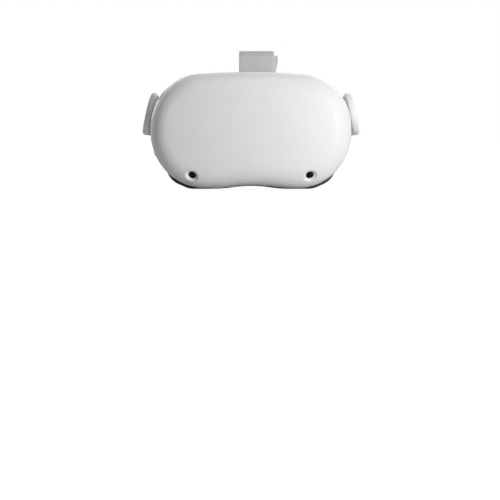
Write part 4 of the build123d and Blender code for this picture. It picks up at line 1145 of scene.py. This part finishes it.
# ------------------------------------------------------------------ face pad
@dataclass
class FacePad:
    """Soft foam pad of the facial interface, swollen from its cut shape."""

    node: str = "face_foam"
    join: float = 0.00002
    voxel: float = 0.0018
    passes: int = 16
    shrink: float = 0.0006
    swell: float = 0.0018
    pressure: float = 4.0
    frames: int = 20
    quality: int = 4
    fill: float = 0.8
    flare: float = 0.007
    cheek_top: float = 0.058
    cheek_low: float = 0.014
    cheek_side: float = 0.028

    def spread(self, piece: bpy.types.Object) -> None:
        """Flare the pad outwards where it meets the cheeks.

        Args:
            piece: The pad.
        """
        for vertex in piece.data.vertices:
            x, _, z = vertex.co
            low = ease((self.cheek_top - z) / (self.cheek_top - self.cheek_low))
            side = ease(abs(x) / self.cheek_side - 1.0)
            vertex.co.x += math.copysign(self.flare * low * side, x)

    def blank(self) -> bpy.types.Object:
        """Copy the cut foam as one closed, even mesh.

        Returns:
            The copy, which replaces nothing yet.
        """
        source = frame["nodes"][self.node]
        piece = source.copy()
        piece.data = source.data.copy()
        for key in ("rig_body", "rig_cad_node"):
            if key in piece:
                del piece[key]
        piece.parent = None
        piece.matrix_world = Matrix.Identity(4)
        piece.name = "face_pad"
        bpy.context.scene.collection.objects.link(piece)
        Bench.pick(piece)
        Bench.mend(self.join, outward=False)
        Bench.apply(piece, "REMESH", mode="VOXEL", voxel_size=self.voxel, use_smooth_shade=True)
        Bench.apply(piece, "SMOOTH", factor=0.5, iterations=self.passes)
        return piece

    def inflate(self, piece: bpy.types.Object) -> None:
        """Swell the pad with a short cloth simulation, and cap how far it goes.

        Args:
            piece: The pad.
        """
        start = np.array([v.co for v in piece.data.vertices])
        normals = np.array([v.normal for v in piece.data.vertices])
        start -= normals * self.shrink
        piece.data.vertices.foreach_set("co", start.ravel())
        Bench.pick(piece)
        cloth = piece.modifiers.new("Cloth", "CLOTH")
        cloth.settings.use_pressure = True
        cloth.settings.uniform_pressure_force = self.pressure
        cloth.settings.effector_weights.gravity = 0.0
        cloth.settings.quality = self.quality
        cloth.collision_settings.use_collision = False
        for number in range(1, self.frames + 1):
            bpy.context.scene.frame_set(number)
        bpy.ops.object.modifier_apply(modifier=cloth.name)
        bpy.context.scene.frame_set(1)
        end = np.array([v.co for v in piece.data.vertices])
        move = end - start
        far = np.linalg.norm(move, axis=1, keepdims=True)
        end = start + move * np.minimum(1.0, self.swell / np.maximum(far, 1e-9))
        piece.data.vertices.foreach_set("co", end.ravel())

    def build(self, foam: bpy.types.Material) -> None:
        """Model the pad.

        Args:
            foam: Finish of the pad.
        """
        piece = self.blank()
        self.spread(piece)
        self.inflate(piece)
        Bench.round_off(piece)
        Bench.dress(piece, Body.FACE, Slot.FOAM, foam, (self.node,))


# ------------------------------------------------------------------ frame
@dataclass
class Dresser:
    """Gives every node of the frame its finish."""

    lens_z: float = 0.052
    lens_x: float = 0.0315
    finishes: dict[str, bpy.types.Material] = field(default_factory=dict)

    def prepare(self) -> None:
        """Make one material for each finish."""
        kinds = [
            Moulded("shell_white", (0.78, 0.78, 0.79), 0.5),
            Webbing("strap_fabric", (0.56, 0.56, 0.575)),
            Moulded("strap_thread", (0.6, 0.6, 0.61), 0.7, grain=0.0003),
            Moulded("black_plastic", (0.02, 0.02, 0.022), 0.5, drift=0.2),
            FoamSkin("foam_black", (0.014, 0.014, 0.016)),
            Moulded("soft_rubber", (0.022, 0.022, 0.024), 0.75, sheen=0.2),
            RingedLens("left_lens_clear", (self.lens_x, self.lens_z)),
            RingedLens("right_lens_clear", (-self.lens_x, self.lens_z)),
            Polished("camera_glass", (0.001, 0.001, 0.0015), pale=0.004, coat=0.15),
            Ground("steel", (0.62, 0.62, 0.63)),
            Ground("light_metal", (0.7, 0.7, 0.72), (1, 1, 0.03), 0.4),
            Board("board_green"),
            Moulded("cell_wrap", (0.1, 0.1, 0.11), 0.3, grain=0.002, coat=0.4),
            Polished("display_black", (0.008, 0.008, 0.01)),
            LightPipe("led_white"),
        ]
        self.finishes = {kind.name: kind.make() for kind in kinds}

    def dress(self) -> None:
        """Put the finish of its slot on every node."""
        slots = {part["node"]: part["material_slot"] for part in frame["record"]["subparts"]}
        for name, node in frame["nodes"].items():
            slot = slots[name]
            if slot == "lens_clear":
                slot = f"{name.split('_')[0]}_lens_clear"
            node.data.materials.clear()
            node.data.materials.append(self.finishes[slot])
        log.info("%d nodes dressed", len(frame["nodes"]))


# ------------------------------------------------------------------ studio
@dataclass(frozen=True)
class SoftBox:
    """Place, size and power of one soft square lamp."""

    name: str
    place: Point
    size: float
    power: float


@dataclass
class Studio:
    """Pale floor and backdrop, soft lamps and the camera."""

    target: Point = (-0.0009, -0.1, -0.0528)
    distance: float = 1.2
    height: float = 0.05
    lens: float = 98.0
    clip_end: float = 50.0
    aim: Point = (0.0, -0.08, 0.06)
    lamps: tuple[SoftBox, ...] = (
        SoftBox("key", (1.15, -1.35, 0.27), 0.5, 23.5),
        SoftBox("top", (0.3, -0.3, 1.7), 1.2, 8.0),
        SoftBox("back", (0.6, 1.7, 1.1), 1.2, 16.0),
        SoftBox("side", (-1.1, 1.5, 0.8), 1.2, 20.0),
    )
    floor_size: float = 12.0
    floor_z: float = -0.0002
    floor_grey: float = 0.65
    floor_glow: float = 1.35
    near: float = 0.35
    far: float = 0.9
    shadow_share: float = 0.7
    ambient: float = 0.11
    mirrored: float = 0.5

    def floor(self) -> None:
        """Lay a white floor that keeps a soft shadow near the object."""
        Bench.clear()
        bpy.ops.mesh.primitive_plane_add(size=self.floor_size, location=(0, 0, self.floor_z))
        floor = bpy.context.object
        floor.name = "studio_floor"
        Bench.settle(floor)
        paint = Paint("studio_white", Roughness=1.0, Specular_IOR_Level=0.0)
        paint.shader.inputs["Base Color"].default_value = (*(self.floor_grey,) * 3, 1.0)
        glow = paint.tree.nodes.new("ShaderNodeEmission")
        glow.inputs["Strength"].default_value = self.floor_glow
        place = paint.place()
        x, y = paint.axis(0, place), paint.axis(1, place)
        far = (x * x + y * y).spread(self.near**2, self.far**2, self.shadow_share, 1.0)
        camera_ray = paint.node("ShaderNodeLightPath", output="Is Camera Ray")
        mix = paint.tree.nodes.new("ShaderNodeMixShader")
        paint.tree.links.new((far * camera_ray).socket, mix.inputs[0])
        paint.tree.links.new(paint.shader.outputs[0], mix.inputs[1])
        paint.tree.links.new(glow.outputs[0], mix.inputs[2])
        paint.tree.links.new(mix.outputs[0], paint.tree.nodes["Material Output"].inputs[0])
        floor.data.materials.append(paint.material)

    def world(self) -> None:
        """Light the scene softly from all round, and show white behind it."""
        world = bpy.data.worlds.new("studio_world")
        bpy.context.scene.world = world
        world.use_nodes = True
        tree = world.node_tree
        back = tree.nodes["Background"]
        back.inputs["Color"].default_value = (1, 1, 1, 1)
        path = tree.nodes.new("ShaderNodeLightPath")
        rays = {"Camera": 1.0, "Glossy": self.mirrored, "Transmission": 1.0}
        total = None
        for ray, strength in rays.items():
            seen = tree.nodes.new("ShaderNodeMath")
            seen.operation = "MULTIPLY_ADD"
            tree.links.new(path.outputs[f"Is {ray} Ray"], seen.inputs[0])
            seen.inputs[1].default_value = strength - self.ambient
            if total is None:
                seen.inputs[2].default_value = self.ambient
            else:
                tree.links.new(total, seen.inputs[2])
            total = seen.outputs[0]
        tree.links.new(total, back.inputs["Strength"])

    @staticmethod
    def hang(name: str, data: bpy.types.ID, place: Point, aim: Point) -> bpy.types.Object:
        """Put a lamp or a camera in the scene.

        Args:
            name: Name of the object.
            data: The light or the camera.
            place: Where it hangs.
            aim: The point it looks at.

        Returns:
            The object.
        """
        item = bpy.data.objects.new(name, data)
        item.location = place
        item.rotation_euler = (Vector(aim) - Vector(place)).to_track_quat("-Z", "Y").to_euler()
        bpy.context.scene.collection.objects.link(item)
        return item

    def lamp(self, box: SoftBox) -> None:
        """Hang one lamp, aimed at the headset.

        Args:
            box: Its place, size and power.
        """
        data = bpy.data.lights.new(box.name, "AREA")
        data.size = box.size
        data.energy = box.power
        self.hang(box.name, data, box.place, self.aim)

    def camera(self) -> None:
        """Stand the camera level with the headset, in front of it."""
        data = bpy.data.cameras.new("camera")
        data.lens = self.lens
        data.clip_end = self.clip_end
        place = (self.target[0], self.target[1] - self.distance, self.height)
        bpy.context.scene.camera = self.hang("camera", data, place, self.target)

    def build(self) -> None:
        """Set the whole studio."""
        self.floor()
        self.world()
        for box in self.lamps:
            self.lamp(box)
        self.camera()
        bpy.context.scene.view_settings.view_transform = "Standard"


def main() -> None:
    """Build the dressed headset and its studio."""
    logging.basicConfig(level=logging.INFO, format="%(name)s: %(message)s")
    dresser = Dresser()
    dresser.prepare()
    dresser.dress()
    cloth = dresser.finishes["strap_fabric"]
    thread = dresser.finishes["strap_thread"]
    RearWeb().build(cloth, thread)
    TopStrap().build(cloth, thread)
    FacePad().build(dresser.finishes["foam_black"])
    Studio().build()


if __name__ == "__main__":
    main()
